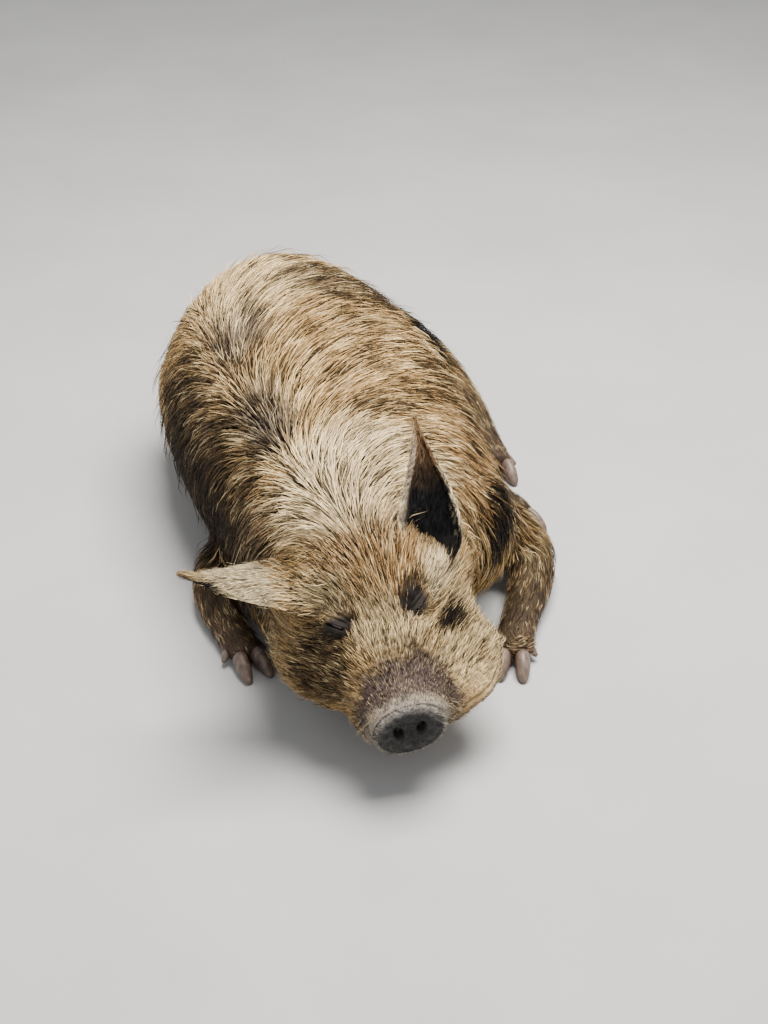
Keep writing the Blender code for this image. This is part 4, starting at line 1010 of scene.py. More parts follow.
def comb(shape, roots, normals, long, stand, lie, tree, draw):
    """Stations of each tuft as it leaves the skin and lies back along it."""
    heading = lie(roots, normals)
    across = np.cross(normals, heading)
    turn = draw.normal(0, TURN_SPREAD, len(roots))[:, None]
    heading = unit(heading + across * turn)
    bend = draw.normal(0, BEND_SPREAD, len(roots))[:, None]
    places, ups, ways = [roots], [normals], [heading]
    here, up = roots, normals
    for before, after in zip(shape, shape[1:]):
        moved = here + heading * (long * (after[0] - before[0]))[:, None]
        here, up = nearest_on(tree, moved)
        fresh = lie(here, up)
        heading = unit(unit(level(heading, up)) * 0.5 + fresh * 0.5 + np.cross(up, fresh) * bend)
        places.append(here)
        ups.append(up)
        ways.append(heading)
    stray = draw.random(len(roots)) < STRAY_SHARE
    reach = stand * draw.uniform(*REACH_SPREAD, len(roots)) * np.where(stray, STRAY_RISE, 1.0)
    leader = clump_of(roots, draw)
    raised = [places[k] + ups[k] * (reach * row[1])[:, None] for k, row in enumerate(shape)]
    raised[0] = places[0] - ups[0] * ROOT_SUNK
    pulled = [raised[0]]
    for k in range(1, len(shape)):
        pull = CLUMP_PULL * shape[k][0] ** 1.4 * draw.uniform(0.2, 1.0, len(roots))[:, None]
        pulled.append(raised[k] + (raised[k][leader] - raised[k]) * pull)
    return pulled, ups, ways, leader


def blade_faces(rows):
    """Triangles of one three-sided blade with so many rows of corners before its tip."""
    pattern = [(0, 1, 2)]
    for k in range(0, 3 * (rows - 1), 3):
        for i in range(3):
            j = (i + 1) % 3
            pattern += [(k + i, k + 3 + i, k + 3 + j), (k + i, k + 3 + j, k + j)]
    last = 3 * (rows - 1)
    pattern += [(last + i, last + 3, last + (i + 1) % 3) for i in range(3)]
    return np.array(pattern)


def blade_corners(shape, stations, ups, ways, wide, draw):
    """Corners of three-sided tapered blades along their stations."""
    roll = draw.normal(0, ROLL_SPREAD, len(wide))[:, None]
    rows = []
    for k, row in enumerate(shape[:-1]):
        across = unit(np.cross(ups[k], ways[k]))
        side = across * np.cos(roll) + ups[k] * np.sin(roll)
        over = ups[k] * np.cos(roll) - across * np.sin(roll)
        half = (wide * row[2] / 2)[:, None]
        middle = stations[k]
        rows += [middle + side * half, middle + over * half * BLADE_THICK, middle - side * half]
    rows.append(stations[-1])
    return np.stack(rows, 1)


def tuft_colours(places, leader, draw):
    """Colour at the root, middle and tip of each tuft, from the markings."""
    count = len(places)
    colour, dark = markings(places + draw.normal(0, MARK_BLUR, (count, 3)))
    head = regions(places)[0]
    lead = draw.random(count)[leader]
    patch = 0.5 + 0.5 * wobble(places, 0.022, 1.1)
    own = 0.36 + 0.34 * head
    mixed = own * draw.random(count) + (1 - own) * (0.62 * lead + 0.38 * patch)
    order = np.argsort(np.argsort(mixed)) / count
    is_dark = ramp(order, dark + DARK_EDGE, dark - DARK_EDGE)[:, None]
    black = np.clip(1 - colour.sum(1) / 0.30, 0, 1)[:, None]
    pale_from = dark + (1 - dark) * 0.50
    is_pale = PALE_STRENGTH * ramp(order, pale_from, pale_from + 0.5 * (1 - dark))[:, None] * (1 - black)
    tone = colour * (1 - is_dark) + (colour * 0.05 + np.array(DARK_HAIR)) * is_dark
    tone = tone * (1 - is_pale) + np.array(CREAM) * is_pale
    tone = tone * draw.uniform(*TONE_SPREAD, count)[:, None]
    golden = (draw.random(count) ** 2)[:, None]
    # A tuft darkens toward its root: darker roots, and painted shade deep in the coat.
    root = tone * (0.06 + 0.16 * (1 - is_dark))
    tip = tone * TIP_BRIGHT + np.array(STRAW) * GOLDEN * golden * is_dark * (1 - black)
    return root, tone * MIDDLE_BRIGHT, tip


def unwrap(places):
    """A place on an unwrap of the skin's own shape: along its limb or trunk, and round it."""
    head, legs, _, down = regions(places)
    s, side, z = head_local(places)
    angle, _, _ = ridge_place(places)
    along = np.where(head > 0.5, s, places[:, 1])
    round_it = np.where(head > 0.5, np.arctan2(side, z), angle)
    along = np.where(legs > 0.5, down, along)
    return along, round_it


def tint_mesh(mesh, colours):
    """Stores a colour for each corner of a mesh."""
    full = np.ones((len(colours), 4), np.float32)
    full[:, :3] = colours
    mesh.color_attributes.new("Coat", "FLOAT_COLOR", "POINT").data.foreach_set("color", full.ravel())


def build_mesh(name, corners, faces, colours, uvs):
    """One mesh of many closed tufts from arrays, with its colours and its patches."""
    mesh = bpy.data.meshes.new(name)
    places, faces = corners.reshape(-1, 3), faces.reshape(-1, 3)
    mesh.vertices.add(len(places))
    mesh.vertices.foreach_set("co", places.astype(np.float32).ravel())
    mesh.loops.add(len(faces) * 3)
    mesh.loops.foreach_set("vertex_index", faces.astype(np.int32).ravel())
    mesh.polygons.add(len(faces))
    mesh.polygons.foreach_set("loop_start", np.arange(0, len(faces) * 3, 3, dtype=np.int32))
    mesh.update(calc_edges=True)
    tint_mesh(mesh, colours.reshape(-1, 3))
    layer = mesh.uv_layers.new(name="OFBake")
    layer.data.foreach_set("uv", uvs.reshape(-1, 2)[faces.ravel()].astype(np.float32).ravel())
    mesh.shade_smooth()
    return add_object(name, mesh)


def coat_pieces(name, corners, pattern, colours, along, round_it):
    """Splits the tufts into pieces along the body and gives each tuft its patch."""
    order = np.argsort(along, kind="stable")
    pieces = max(1, math.ceil(len(order) * len(pattern) / PIECE_FACES))
    each = corners.shape[1]
    rows = (each - 1) // 3
    steps = [(i * PATCH / 2, k * PATCH / rows) for k in range(rows) for i in range(3)]
    steps = np.array(steps + [(PATCH / 2, PATCH)])
    made = []
    for k, chosen in enumerate(np.array_split(order, pieces)):
        place = np.stack([along[chosen], round_it[chosen]], 1)
        low, high = place.min(0), place.max(0)
        place = 0.005 + 0.985 * (place - low) / np.maximum(high - low, 1e-6)
        uvs = place[:, None, :] + steps[None]
        faces = pattern[None] + (np.arange(len(chosen)) * each)[:, None, None]
        made.append(build_mesh(f"{name}_{k + 1}" if pieces > 1 else name,
                               corners[chosen], faces, colours[chosen], uvs))
    return made


def tufts_on(name, shape, roots, normals, sizes, lie, tree, draw, unfold=unwrap, paint=None):
    """Grows tufts from roots, with their length, width and standing height, as pieces of the coat."""
    long, wide, stand = sizes
    stations, ups, ways, leader = comb(shape, roots, normals, long, stand, lie, tree, draw)
    for rows in stations[1:]:
        rows[:, 2] = np.maximum(rows[:, 2], TIP_HEIGHT)
    corners = blade_corners(shape, stations, ups, ways, wide, draw)
    corners[:, :, 2] = np.maximum(corners[:, :, 2], 0.0)
    seen = (stations[0] + stations[1]) / 2
    root, tone, tip = (paint or tuft_colours)(seen, leader, draw)
    shades = [root] * 3 + [tone] * 3 + [tip] * (3 * (len(shape) - 3)) + [tip]
    along, round_it = unfold(roots)
    return coat_pieces(name, corners, blade_faces(len(shape) - 1), np.stack(shades, 1), along, round_it)


def body_coat(skin, draw):
    """The coat of head, trunk and legs, denser and finer toward the face."""
    def density(middles, ways):
        head, legs, _, down = regions(middles)
        rate = DENSITY["head"] * head + DENSITY["leg"] * legs + DENSITY["body"] * trunk_share(head, legs)
        rate *= 1 + 0.50 * muzzle_share(middles)
        rate *= disc_local(middles)[0][:, 1] < HAIR_TO_DISC
        for middle, half in BARE_LIDS:
            rate *= 0.10 + 0.90 * ramp(stretched_far(middles, middle, half), 0.80, 1.20)
        rate *= middles[:, 2] > HAIR_FROM_Z
        rate *= 1 - UNDERSIDE_THIN * ramp(ways[:, 2], -0.35, -0.75)
        rate *= np.where(eye_far(middles) < EYE_BARE, 0.15, 1.0)
        rate *= 1 - ramp(down, 0.93, 0.99) * legs
        return rate

    roots, normals = sample(skin.data, density, draw)
    long, wide, stand = coat_sizes(roots)
    long = long * draw.uniform(0.75, 1.25, len(roots))
    wide = wide * draw.uniform(0.70, 1.30, len(roots))
    tree = tree_of(skin.data)
    head, legs, _, _ = regions(roots)
    made = []
    sizes = np.stack([long, wide, stand])
    for name, shape, chosen in (("coat_head", SHORT_TUFT, head > 0.5),
                                ("coat_legs", SHORT_TUFT, (legs > 0.5) & (head <= 0.5)),
                                ("coat_body", LONG_TUFT, (legs <= 0.5) & (head <= 0.5))):
        made += tufts_on(name, shape, roots[chosen], normals[chosen], sizes[:, chosen], lie_of, tree, draw)
    return made


# Ears.

def ear_axes(along, cup):
    """An ear's length, its width and the way its cup faces, at right angles."""
    along = Vector(along).normalized()
    across = along.cross(Vector(cup)).normalized()
    return along, across, across.cross(along)


def ear_half_width(out):
    """Half the ear's width at a share of its length."""
    swell = EAR_SWELL[0] + EAR_SWELL[1] * out
    return np.maximum(EAR_TIP, EAR_WIDTH / 2 * (1 - out) ** EAR_TAPER * swell)


def ear_cup_depth(out, wide):
    """Depth of the ear's cup at a share of its length."""
    return EAR_CUP * (1 - EAR_FLATTER * out) * wide / (EAR_WIDTH / 2)


def ear_dip(u):
    """How much of its full dip an ear has at a share of its length."""
    return np.maximum(0.0, 1 - (u + EAR_ROOT) / EAR_DIP_END) ** 2


def ear_round(u, name):
    """Narrows an ear's lowest part to a rounded end."""
    low, high = EAR_ROUND[name]
    return max(0.02, math.sqrt(min(1.0, max(0.0, (u - low) / (high - low)))))


def ear_leaf(name, rows=56, columns=36):
    """A cupped ear, thin at its edge, with a rolled root and fine ribs inside."""
    root, along, cup, fold, length = EARS[name]
    root = head_point(*root)
    along, across, cup = ear_axes(along, cup)
    sink = head_frame().to_3x3() @ Vector(EAR_SINK[name])
    shape = bmesh.new()
    sides = {1: [], -1: []}
    for i in range(rows + 1):
        u = -EAR_ROOT + (1 + EAR_ROOT) * i / rows
        out = max(u, 0.0)
        wide = float(ear_half_width(out)) * ear_round(u, name)
        deep = ear_cup_depth(out, wide)
        bend = fold * out ** 2
        for face in (1, -1):
            row = []
            for j in range(columns + 1):
                v = 2 * j / columns - 1
                thick = EAR_THICK * (1 - 0.55 * out) * (1 - 0.80 * v * v) + EAR_EDGE
                rib = EAR_RIB * math.sin(9 * v + 2.0) * (1 - v * v) * (1 - out) * (face > 0)
                wave = EAR_WAVE * math.sin(7 * u + 3 * v) * v * v
                place = (root + along * (length * u) + across * (wide * v * (1 - EAR_NARROWER * out))
                         - cup * (deep * (1 - v * v)) + cup * (bend * length)
                         + sink * float(ear_dip(u))
                         + cup * (face * thick / 2 + rib + wave))
                row.append(shape.verts.new(place))
            sides[face].append(row)
    for face in (1, -1):
        for a, b in zip(sides[face], sides[face][1:]):
            for j in range(columns):
                shape.faces.new((a[j], a[j + 1], b[j + 1], b[j]))
    front, back = sides[1], sides[-1]
    for i in range(rows):
        for j in (0, columns):
            shape.faces.new((front[i][j], front[i + 1][j], back[i + 1][j], back[i][j]))
    for i in (0, rows):
        for j in range(columns):
            shape.faces.new((front[i][j], front[i][j + 1], back[i][j + 1], back[i][j]))
    made = object_from(name + "_skin", shape)
    made.data.shade_smooth()
    return made


def ear_places(places, name):
    """Share along an ear, share across it, and whether a place lies on the cup's side."""
    root, along, cup, fold, length = EARS[name]
    root = np.array(head_point(*root))
    along, across, cup = (np.array(axis) for axis in ear_axes(along, cup))
    offset = places - root
    u = offset @ along / length
    offset = offset - ear_dip(u)[:, None] * (np.array(head_frame().to_3x3()) @ np.array(EAR_SINK[name]))
    out = np.clip(u, 0, 0.98)
    wide = ear_half_width(out)
    v = offset @ across / np.maximum(wide * (1 - EAR_NARROWER * out), 0.004)
    middle = -ear_cup_depth(out, wide) * (1 - v * v) + fold * out ** 2 * length
    return u, np.clip(v, -1, 1), (offset @ cup) > middle


def ear_colour(places, name):
    """Cream outside, tan at the tip, black in the cup with a pale fringe on its inner edge."""
    u, v, inside = ear_places(places, name)
    outside = np.tile(IVORY, (len(places), 1)) * (0.88 + 0.12 * wobble(places, 0.02, 1))[:, None]
    tip = ramp(u, 0.60, 0.90)[:, None]
    outside = outside * (1 - 0.80 * tip) + np.array(STRAW) * 0.60 * tip
    tan = np.array(UMBER) * (1.3 + 0.6 * wobble(places, 0.008, 3))[:, None]
    low, high = CUP_BLACK[name]
    black = ramp(u + 0.05 * wobble(places, 0.012, 2), high, low)[:, None]
    black = black * ramp(u, *CUP_FROM[name])[:, None]
    cup = tan * (1 - black) + np.array(BLACK) * 1.2 * black
    fringe = 0.75 * ramp(-v, 0.62, 0.92)[:, None] * (name == "ear_left")
    cup = cup * (1 - fringe) + np.array(CUP_EDGE) * fringe
    return np.where(inside[:, None], cup, outside)


def ear_coat(leaf, name, draw):
    """Short hair over the ear's back, longer at its root and along its edges, sparse in the cup."""
    way, across, _ = (np.array(axis) for axis in ear_axes(*EARS[name][1:3]))

    def density(middles, ways):
        u, v, inside = ear_places(middles, name)
        rate = np.where(inside, 0.35 + 0.9 * ramp(np.abs(v), 0.6, 0.9), 1.0)
        return rate * (u > EAR_HAIR_FROM)

    def lie(places, normals):
        v = ear_places(places, name)[1]
        heading = way[None] + across[None] * (v * ramp(np.abs(v), 0.3, 1.0))[:, None]
        return unit(level(heading, normals))

    mesh = leaf.data
    each = EAR_TUFTS / area_of(mesh)
    roots, normals = sample(mesh, lambda middles, ways: density(middles, ways) * each, draw)
    u, v, inside = ear_places(roots, name)
    long = np.interp(u, *zip(*EAR_LENGTHS))
    long *= 1 + 0.80 * ramp(np.abs(v), 0.75, 1.0)
    long *= draw.uniform(0.7, 1.3, len(roots))
    wide = draw.uniform(0.0005, 0.0010, len(roots))
    stand = np.where(inside, 0.0035, 0.0034) * draw.uniform(0.4, 1.8, len(roots))

    def paint(places, leader, draw):
        tone = ear_colour(places, name) * draw.uniform(0.55, 1.25, len(places))[:, None]
        tone = tone * np.where(draw.random(len(places)) < EAR_DARK_SHARE, 0.12, 1.0)[:, None]
        return tone * 0.25, tone, tone * 1.15

    def unfold(places):
        u, v, inside = ear_places(places, name)
        return u, np.where(inside, 1.1 - v / 2.2, v / 2.2 - 1.1)

    return tufts_on(f"coat_{name}", SHORT_TUFT, roots, normals, (long, wide, stand), lie, tree_of(mesh),
                    draw, unfold, paint)


def ear_cover(skin, leaf, name, draw):
    """Hair that grows on the head round an ear's root and runs up over the root."""
    way = np.array(ear_axes(*EARS[name][1:3])[0])
    middle = head_point(*COVER_AT)

    def density(middles, ways):
        return COVER_DENSITY * ramp(far_from(middles, middle), COVER_REACH, 0.6 * COVER_REACH)

    def lie(places, normals):
        wander = drift(places, 0.020, (0.2, 1.3, 2.6))
        return unit(way + COVER_LIFT * normals + COVER_WANDER * wander)

    roots, normals = sample(skin.data, density, draw)
    count = len(roots)
    sizes = (draw.uniform(0.030, 0.058, count), draw.uniform(0.0007, 0.0014, count),
             draw.uniform(0.003, 0.009, count))
    return tufts_on(f"coat_{name}_root", LONG_TUFT, roots, normals, sizes, lie,
                    tree_of(skin.data, leaf.data), draw)


# Tail, snout, claws and eyes.

TAIL_LENGTHS = ((0, 0.030), (0.5, 0.020), (0.8, 0.034), (1, 0.045))


def make_tail(draw):
    """The tail's skin and its hair, with a longer switch at the end."""
    skin = limb("tail_skin", TAIL, sides=20, step=8)
    skin.data.shade_smooth()
    path = path_of(TAIL, 8)

    def along_of(places):
        far = np.linalg.norm(places[:, None] - path[None, :, :3], axis=2)
        return far.argmin(1)

    heads = unit(np.gradient(path[:, :3], axis=0))

    def lie(places, normals):
        return unit(level(heads[along_of(places)], normals) + 1e-4)

    def unfold(places):
        near = along_of(places)
        offset = places - path[near, :3]
        return near / len(path), np.arctan2(offset[:, 0], offset[:, 2])

    each = TAIL_TUFTS / area_of(skin.data)
    roots, normals = sample(skin.data, lambda middles, ways: np.full(len(middles), each), draw)
    share = along_of(roots) / len(path)
    long = np.interp(share, *zip(*TAIL_LENGTHS))
    wide = draw.uniform(0.0014, 0.0024, len(roots))
    coat = tufts_on("coat_tail", SHORT_TUFT, roots, normals, (long, wide, long * 0.14), lie,
                    tree_of(skin.data), draw, unfold)
    return skin, coat


# The disc's edge as it leaves the muzzle: how far out, and its size there.
DISC_EDGE = ((-0.004, 0.96), (0.0, 0.99), (0.0030, 1.01), (0.0065, 1.015), (0.0095, 1.00),
             (0.0118, 0.965), (0.0130, 0.92))
DISC_OUT = 0.0112       # the middle of the disc's face stands this far out
DISC_DISH = 0.0018      # how much its edge stands out past its middle
NOSTRIL_DEEP = 0.0095
NOSTRIL_RIM = 0.0012
GROOVE_DEEP = 0.0014    # the groove between the nostrils and below them
GROOVE_WIDE = 0.0030
DISC_SIDES = 140
DISC_STEPS = 44
RIM_DENSITY = 620000.0  # hairs for each square metre of the rim, and over the whole disc
DISC_DENSITY = 50000.0
RIM_WIDE = 0.00045
WHISKER_WIDE = 0.0004


def make_snout():
    """The rooting disc: an uneven rounded rim, a rough, slightly dished face and two nostrils."""
    frame = disc_frame()
    shape = bmesh.new()
    last = DISC_EDGE[-1][1]
    rows = list(DISC_EDGE) + [(None, last * (1 - k / DISC_STEPS)) for k in range(1, DISC_STEPS)]
    loops = []
    for out, scale in rows:
        row = []
        for i in range(DISC_SIDES):
            angle = 2 * math.pi * i / DISC_SIDES
            uneven = 1 + 0.030 * fractal(Vector((math.cos(angle), math.sin(angle), 0.3)) * 1.4) * scale
            x = DISC_HALF[0] * scale * uneven * math.cos(angle)
            z = DISC_HALF[1] * scale * uneven * math.sin(angle)
            y = disc_height(x, z) if out is None else out + 0.0007 * fractal(Vector((x, out, z)) * 160)
            row.append(shape.verts.new(frame @ Vector((x, y, z))))
        loops.append(row)
    bridge(shape, loops)
    shape.faces.new(loops[0])
    middle = shape.verts.new(frame @ Vector((0, disc_height(0, 0), 0)))
    for i in range(DISC_SIDES):
        shape.faces.new((loops[-1][i], loops[-1][(i + 1) % DISC_SIDES], middle))
    made = object_from("snout_disc", shape)
    made.data.shade_smooth()
    return made


def fractal(place):
    """Noise of three octaves, between about -1 and 1."""
    return noise.fractal(place, 1.0, 2.0, 3)


def nostril_offset(x, z, side):
    """Place from a nostril's middle, across and up, as shares of its half sizes."""
    across = x - side * NOSTRIL_OUT
    up = z - NOSTRIL_UP - NOSTRIL_SLANT * side * across
    return across / NOSTRIL_HALF[0], up / NOSTRIL_HALF[1]


def disc_height(x, z):
    """How far the disc's face stands out at a place on it."""
    edge = math.hypot(x / DISC_HALF[0], z / DISC_HALF[1])
    height = DISC_OUT + DISC_DISH * edge ** 2
    for side in (-1, 1):
        far = math.hypot(*nostril_offset(x, z, side))
        height -= NOSTRIL_DEEP / (1 + math.exp((far - 0.92) * 9))
        height += NOSTRIL_RIM * math.exp(-((far - 1.5) / 0.36) ** 2)
    height -= GROOVE_DEEP * math.exp(-(x / GROOVE_WIDE) ** 2) * max(0.0, 0.3 - z / DISC_HALF[1])
    height += 0.0010 * fractal(Vector((x, 0.0, z)) * 120) + 0.0005 * fractal(Vector((x, 0.4, z)) * 420)
    return height


def disc_colours(places):
    """Near-black leather, mottled, with a painted highlight that greys its upper rim and painted shade
    that makes the nostrils pitch-dark.
    """
    local, edge = disc_local(places)
    # Painted highlight: the upper rim is drawn paler, as where light from above falls on it; the mottled
    # patches are the leather's own.
    lit_upper_rim = ramp(edge, 0.70, 0.95) * ramp(local[:, 2] / DISC_HALF[1], 0.0, 0.7)
    patch = 0.5 + 0.5 * wobble(places, 0.006, 0.7)
    light = (0.85 * lit_upper_rim * (0.55 + 0.45 * patch) + 0.16 * patch * ramp(edge, 0.3, 0.9))[:, None]
    tone = np.array(LEATHER) * (1 - light) + np.array(LEATHER_PALE) * light
    # Painted shade darkens the inside of each nostril.
    for side in (-1, 1):
        far = np.hypot(*nostril_offset(local[:, 0], local[:, 2], side))
        tone = tone * (1 - 0.9 * ramp(far, 1.05, 0.7))[:, None]
    return tone


def rim_hairs(snout, draw):
    """Fine pale hairs that stand round the disc's rim and hang at its lower edge."""
    def density(middles, ways):
        return RIM_DENSITY * ramp(disc_local(middles)[1], 0.84, 0.97) + DISC_DENSITY

    def lie(places, normals):
        local = disc_local(places)[0]
        forward = np.where(local[:, 1] < 0.010, -0.9, 0.2)
        out = np.stack([local[:, 0] / DISC_HALF[0], forward, local[:, 2] / DISC_HALF[1] - 0.5], 1)
        return unit(level(turned(out, disc_frame()), normals))

    roots, normals = sample(snout.data, density, draw)
    count = len(roots)
    long = draw.uniform(0.003, 0.009, count)
    sizes = (long, np.full(count, RIM_WIDE), long * draw.uniform(0.2, 0.8, count))

    def paint(places, leader, draw):
        edge = disc_local(places)[1]
        pale = draw.random(len(places)) ** 1.6 * (0.10 + 0.90 * ramp(edge, 0.80, 0.97))
        tone = np.array(RIM_HAIR) * pale[:, None]
        return tone * 0.5, tone, tone

    def unfold(places):
        local = disc_local(places)[0]
        return local[:, 0], local[:, 2]

    return tufts_on("rim_hairs", SHORT_TUFT, roots, normals, sizes, lie, tree_of(snout.data), draw,
                    unfold, paint)


def claw(name, start, along, profile, length, half_w, half_h):
    """One claw of a hoof: a blunt wedge that narrows to its toe."""
    across = along.cross(Vector((0, 0, 1))).normalized()
    up = across.cross(along)
    rings = []
    for t, w, h, drop in smooth_path(profile, 6):
        middle = start + along * (length * t) - up * (half_h * drop)
        rings.append(ring(middle, across, up, half_w * w, half_h * h, sides=32))
    made = loft(name, rings)
    for vert in made.data.vertices:
        vert.co.z = max(vert.co.z, 0.0)
    made.data.shade_smooth()
    return made


def make_claws():
    """Two claws and two dewclaws for each foot, by the name of their node."""
    made = {}
    for name, stations in LEGS.items():
        end = Vector(stations[-1][0])
        along = end - Vector(stations[-2][0])
        along = Vector((along.x, along.y, 0)).normalized()
        side_way = along.cross(Vector((0, 0, 1))).normalized()
        for label, side in (("outer", 1), ("inner", -1)):
            start = end - along * CLAW_IN + side_way * (side * CLAW_SPREAD)
            start.z = CLAW_HALF[1] - CLAW_FLAT
            point = (along + side_way * (side * CLAW_TURN)).normalized()
            node = f"claw_{label}_{name}"
            made[node] = claw(node + "_horn", start, point, CLAW_PROFILE, CLAW_LENGTH, *CLAW_HALF)
            start = end - along * DEWCLAW_BACK + side_way * (side * DEWCLAW_SPREAD)
            start.z = DEWCLAW_Z
            ahead, out, down = DEWCLAW_WAY
            point = (along * ahead + side_way * (side * out) - Vector((0, 0, down))).normalized()
            node = f"dewclaw_{label}_{name}"
            made[node] = claw(node + "_horn", start, point, DEWCLAW_PROFILE, DEWCLAW_LENGTH,
                              *DEWCLAW_HALF)
    return made


def make_eyes():
    """The eyeballs, by the name of their node."""
    made = {}
    for name, side in EYES.items():
        turn = eye_turn(side)
        ball = ellipsoid(name + "_ball", eye_place(side) - turn @ Vector((0, EYE_SUNK, 0)),
                         (EYE_R, EYE_R, EYE_R), turn, rings=24)
        ball.data.shade_smooth()
        made[name] = ball
    return made


def whiskers(skin, draw):
    """Long, thin hairs on the muzzle, under the disc and at the chin."""
    def density(middles, ways):
        s, _, z = head_local(middles)
        rate = 12000.0 * ramp(s, 0.135, 0.17) * ramp(z, 0.02, -0.05) + 18000.0 * ramp(s, 0.195, 0.215)
        rate *= disc_local(middles)[0][:, 1] < -0.001
        return rate * (middles[:, 2] > 0.02) * (middles[:, 1] < MUZZLE_Y)

    def lie(places, normals):
        s, side, z = head_local(places)
        local = np.stack([0.7 * np.clip(side / 0.05, -1, 1), np.full(len(s), -0.25),
                          np.where(z < -0.03, -0.9, -0.15)], 1)
        return unit(level(turned(local, head_frame()), normals))

    roots, normals = sample(skin.data, density, draw)
    long = draw.uniform(0.008, 0.024, len(roots))
    wide = np.full(len(roots), WHISKER_WIDE)
    stand = long * draw.uniform(0.20, 0.65, len(roots))

    def paint(places, leader, draw):
        tone = np.tile(CREAM, (len(places), 1)) * draw.uniform(0.15, 1.0, len(places))[:, None]
        return tone * 0.5, tone, tone

    return tufts_on("whiskers", SHORT_TUFT, roots, normals, (long, wide, stand), lie, tree_of(skin.data),
                    draw, paint=paint)


# Materials.

def new_material(name):
    made = bpy.data.materials.new(name)
    made.use_nodes = True
    tree = made.node_tree
    return made, tree, tree.nodes["Principled BSDF"]


def node(tree, kind, inputs=None, **settings):
    """Adds a shader node with its settings and input values."""
    made = tree.nodes.new(kind)
    for key, value in settings.items():
        setattr(made, key, value)
    for key, value in (inputs or {}).items():
        made.inputs[key].default_value = value
    return made


def grain(tree, scale, detail=4.0, rough=0.55, stretch=None):
    """A noise texture on the object's own coordinates."""
    place = node(tree, "ShaderNodeTexCoord").outputs["Object"]
    if stretch:
        mapping = node(tree, "ShaderNodeMapping", {"Scale": stretch})
        tree.links.new(place, mapping.inputs["Vector"])
        place = mapping.outputs["Vector"]
    made = node(tree, "ShaderNodeTexNoise", {"Scale": scale, "Detail": detail, "Roughness": rough})
    tree.links.new(place, made.inputs["Vector"])
    return made.outputs["Fac"]


def ramp_node(tree, fac, stops):
    """Colours along a value, from rows of place and colour."""
    made = node(tree, "ShaderNodeValToRGB")
    elements = made.color_ramp.elements
    while len(elements) < len(stops):
        elements.new(0.5)
    for element, (place, colour) in zip(elements, stops):
        element.position = place
        element.color = (*colour, 1.0)
    tree.links.new(fac, made.inputs["Fac"])
    return made.outputs["Color"]


def multiply(tree, a, b):
    """The product of two colours."""
    made = node(tree, "ShaderNodeMix", data_type="RGBA", blend_type="MULTIPLY")
    made.inputs[0].default_value = 1.0
    tree.links.new(a, made.inputs[6])
    tree.links.new(b, made.inputs[7])
    return made.outputs[2]


def bump(tree, shader, height, strength, distance):
    """Lets a height show on a shader as relief."""
    made = node(tree, "ShaderNodeBump", {"Strength": strength, "Distance": distance})
    tree.links.new(height, made.inputs["Height"])
    tree.links.new(made.outputs["Normal"], shader.inputs["Normal"])


def tint_of(tree):
    """The colour stored on a mesh."""
    return node(tree, "ShaderNodeAttribute", attribute_name="Coat").outputs["Color"]


def dress(tree, shader, colour, **values):
    """Gives a shader its base colour and its plain values, such as Roughness=0.5."""
    tree.links.new(colour, shader.inputs["Base Color"])
    for key, value in values.items():
        shader.inputs[key.replace("_", " ")].default_value = value


def coat_material():
    """Bristles: the markings' colour with streaks of wear and mud, slightly glossy."""
    made, tree, shader = new_material("coat_bristle")
    stored = tint_of(tree)
    streak = ramp_node(tree, grain(tree, 130.0), ((0.30, (0.72, 0.70, 0.68)), (0.70, (1.15, 1.13, 1.10))))
    cloud = ramp_node(tree, grain(tree, 14.0), ((0.35, (0.80, 0.77, 0.73)), (0.65, (1.08, 1.07, 1.05))))
    colour = multiply(tree, multiply(tree, stored, streak), cloud)
    dress(tree, shader, colour, Roughness=0.50, Specular_IOR_Level=0.12)
    return made


def skin_material():
    """Skin under the coat: the markings, darkened by the skin's own tone and by painted shade of the hair,
    with pores and fine creases.
    """
    made, tree, shader = new_material("pig_skin")
    stored = tint_of(tree)
    cloud = ramp_node(tree, grain(tree, 60.0), ((0.30, (0.70, 0.66, 0.62)), (0.72, (1.20, 1.15, 1.10))))
    dress(tree, shader, multiply(tree, stored, cloud), Roughness=0.62, Specular_IOR_Level=0.20)
    pores = grain(tree, 700.0, detail=3.0)
    creases = grain(tree, 160.0, detail=5.0, stretch=(1.0, 1.6, 1.0))
    both = node(tree, "ShaderNodeMath", operation="ADD")
    tree.links.new(pores, both.inputs[0])
    tree.links.new(creases, both.inputs[1])
    bump(tree, shader, both.outputs[0], 0.70, 0.0018)
    return made


def snout_material():
    """Rough leather with small cells, mottled."""
    made, tree, shader = new_material("snout_leather")
    stored = tint_of(tree)
    mottle = ramp_node(tree, grain(tree, 260.0), ((0.32, (0.45, 0.44, 0.45)), (0.68, (1.7, 1.65, 1.6))))
    dress(tree, shader, multiply(tree, stored, mottle), Roughness=0.52, Specular_IOR_Level=0.20)
    cells = node(tree, "ShaderNodeTexVoronoi", {"Scale": 620.0}, feature="DISTANCE_TO_EDGE")
    place = node(tree, "ShaderNodeTexCoord").outputs["Object"]
    tree.links.new(place, cells.inputs["Vector"])
    bump(tree, shader, cells.outputs["Distance"], 0.60, 0.0010)
    return made


def claw_material():
    """Streaked horn, from dark to pale."""
    made, tree, shader = new_material("claw_horn")
    base = ramp_node(tree, grain(tree, 120.0, stretch=(1.0, 1.0, 0.25)),
                     ((0.30, (0.060, 0.042, 0.034)), (0.60, (0.155, 0.105, 0.080)),
                      (0.80, (0.290, 0.205, 0.155))))
    dress(tree, shader, base, Roughness=0.48)
    bump(tree, shader, grain(tree, 300.0, stretch=(1.0, 1.0, 3.0)), 0.5, 0.0008)
    return made


IRIS_SCALE = 50.0       # 20 mm from the front of the eye are 1 on its colour ramp


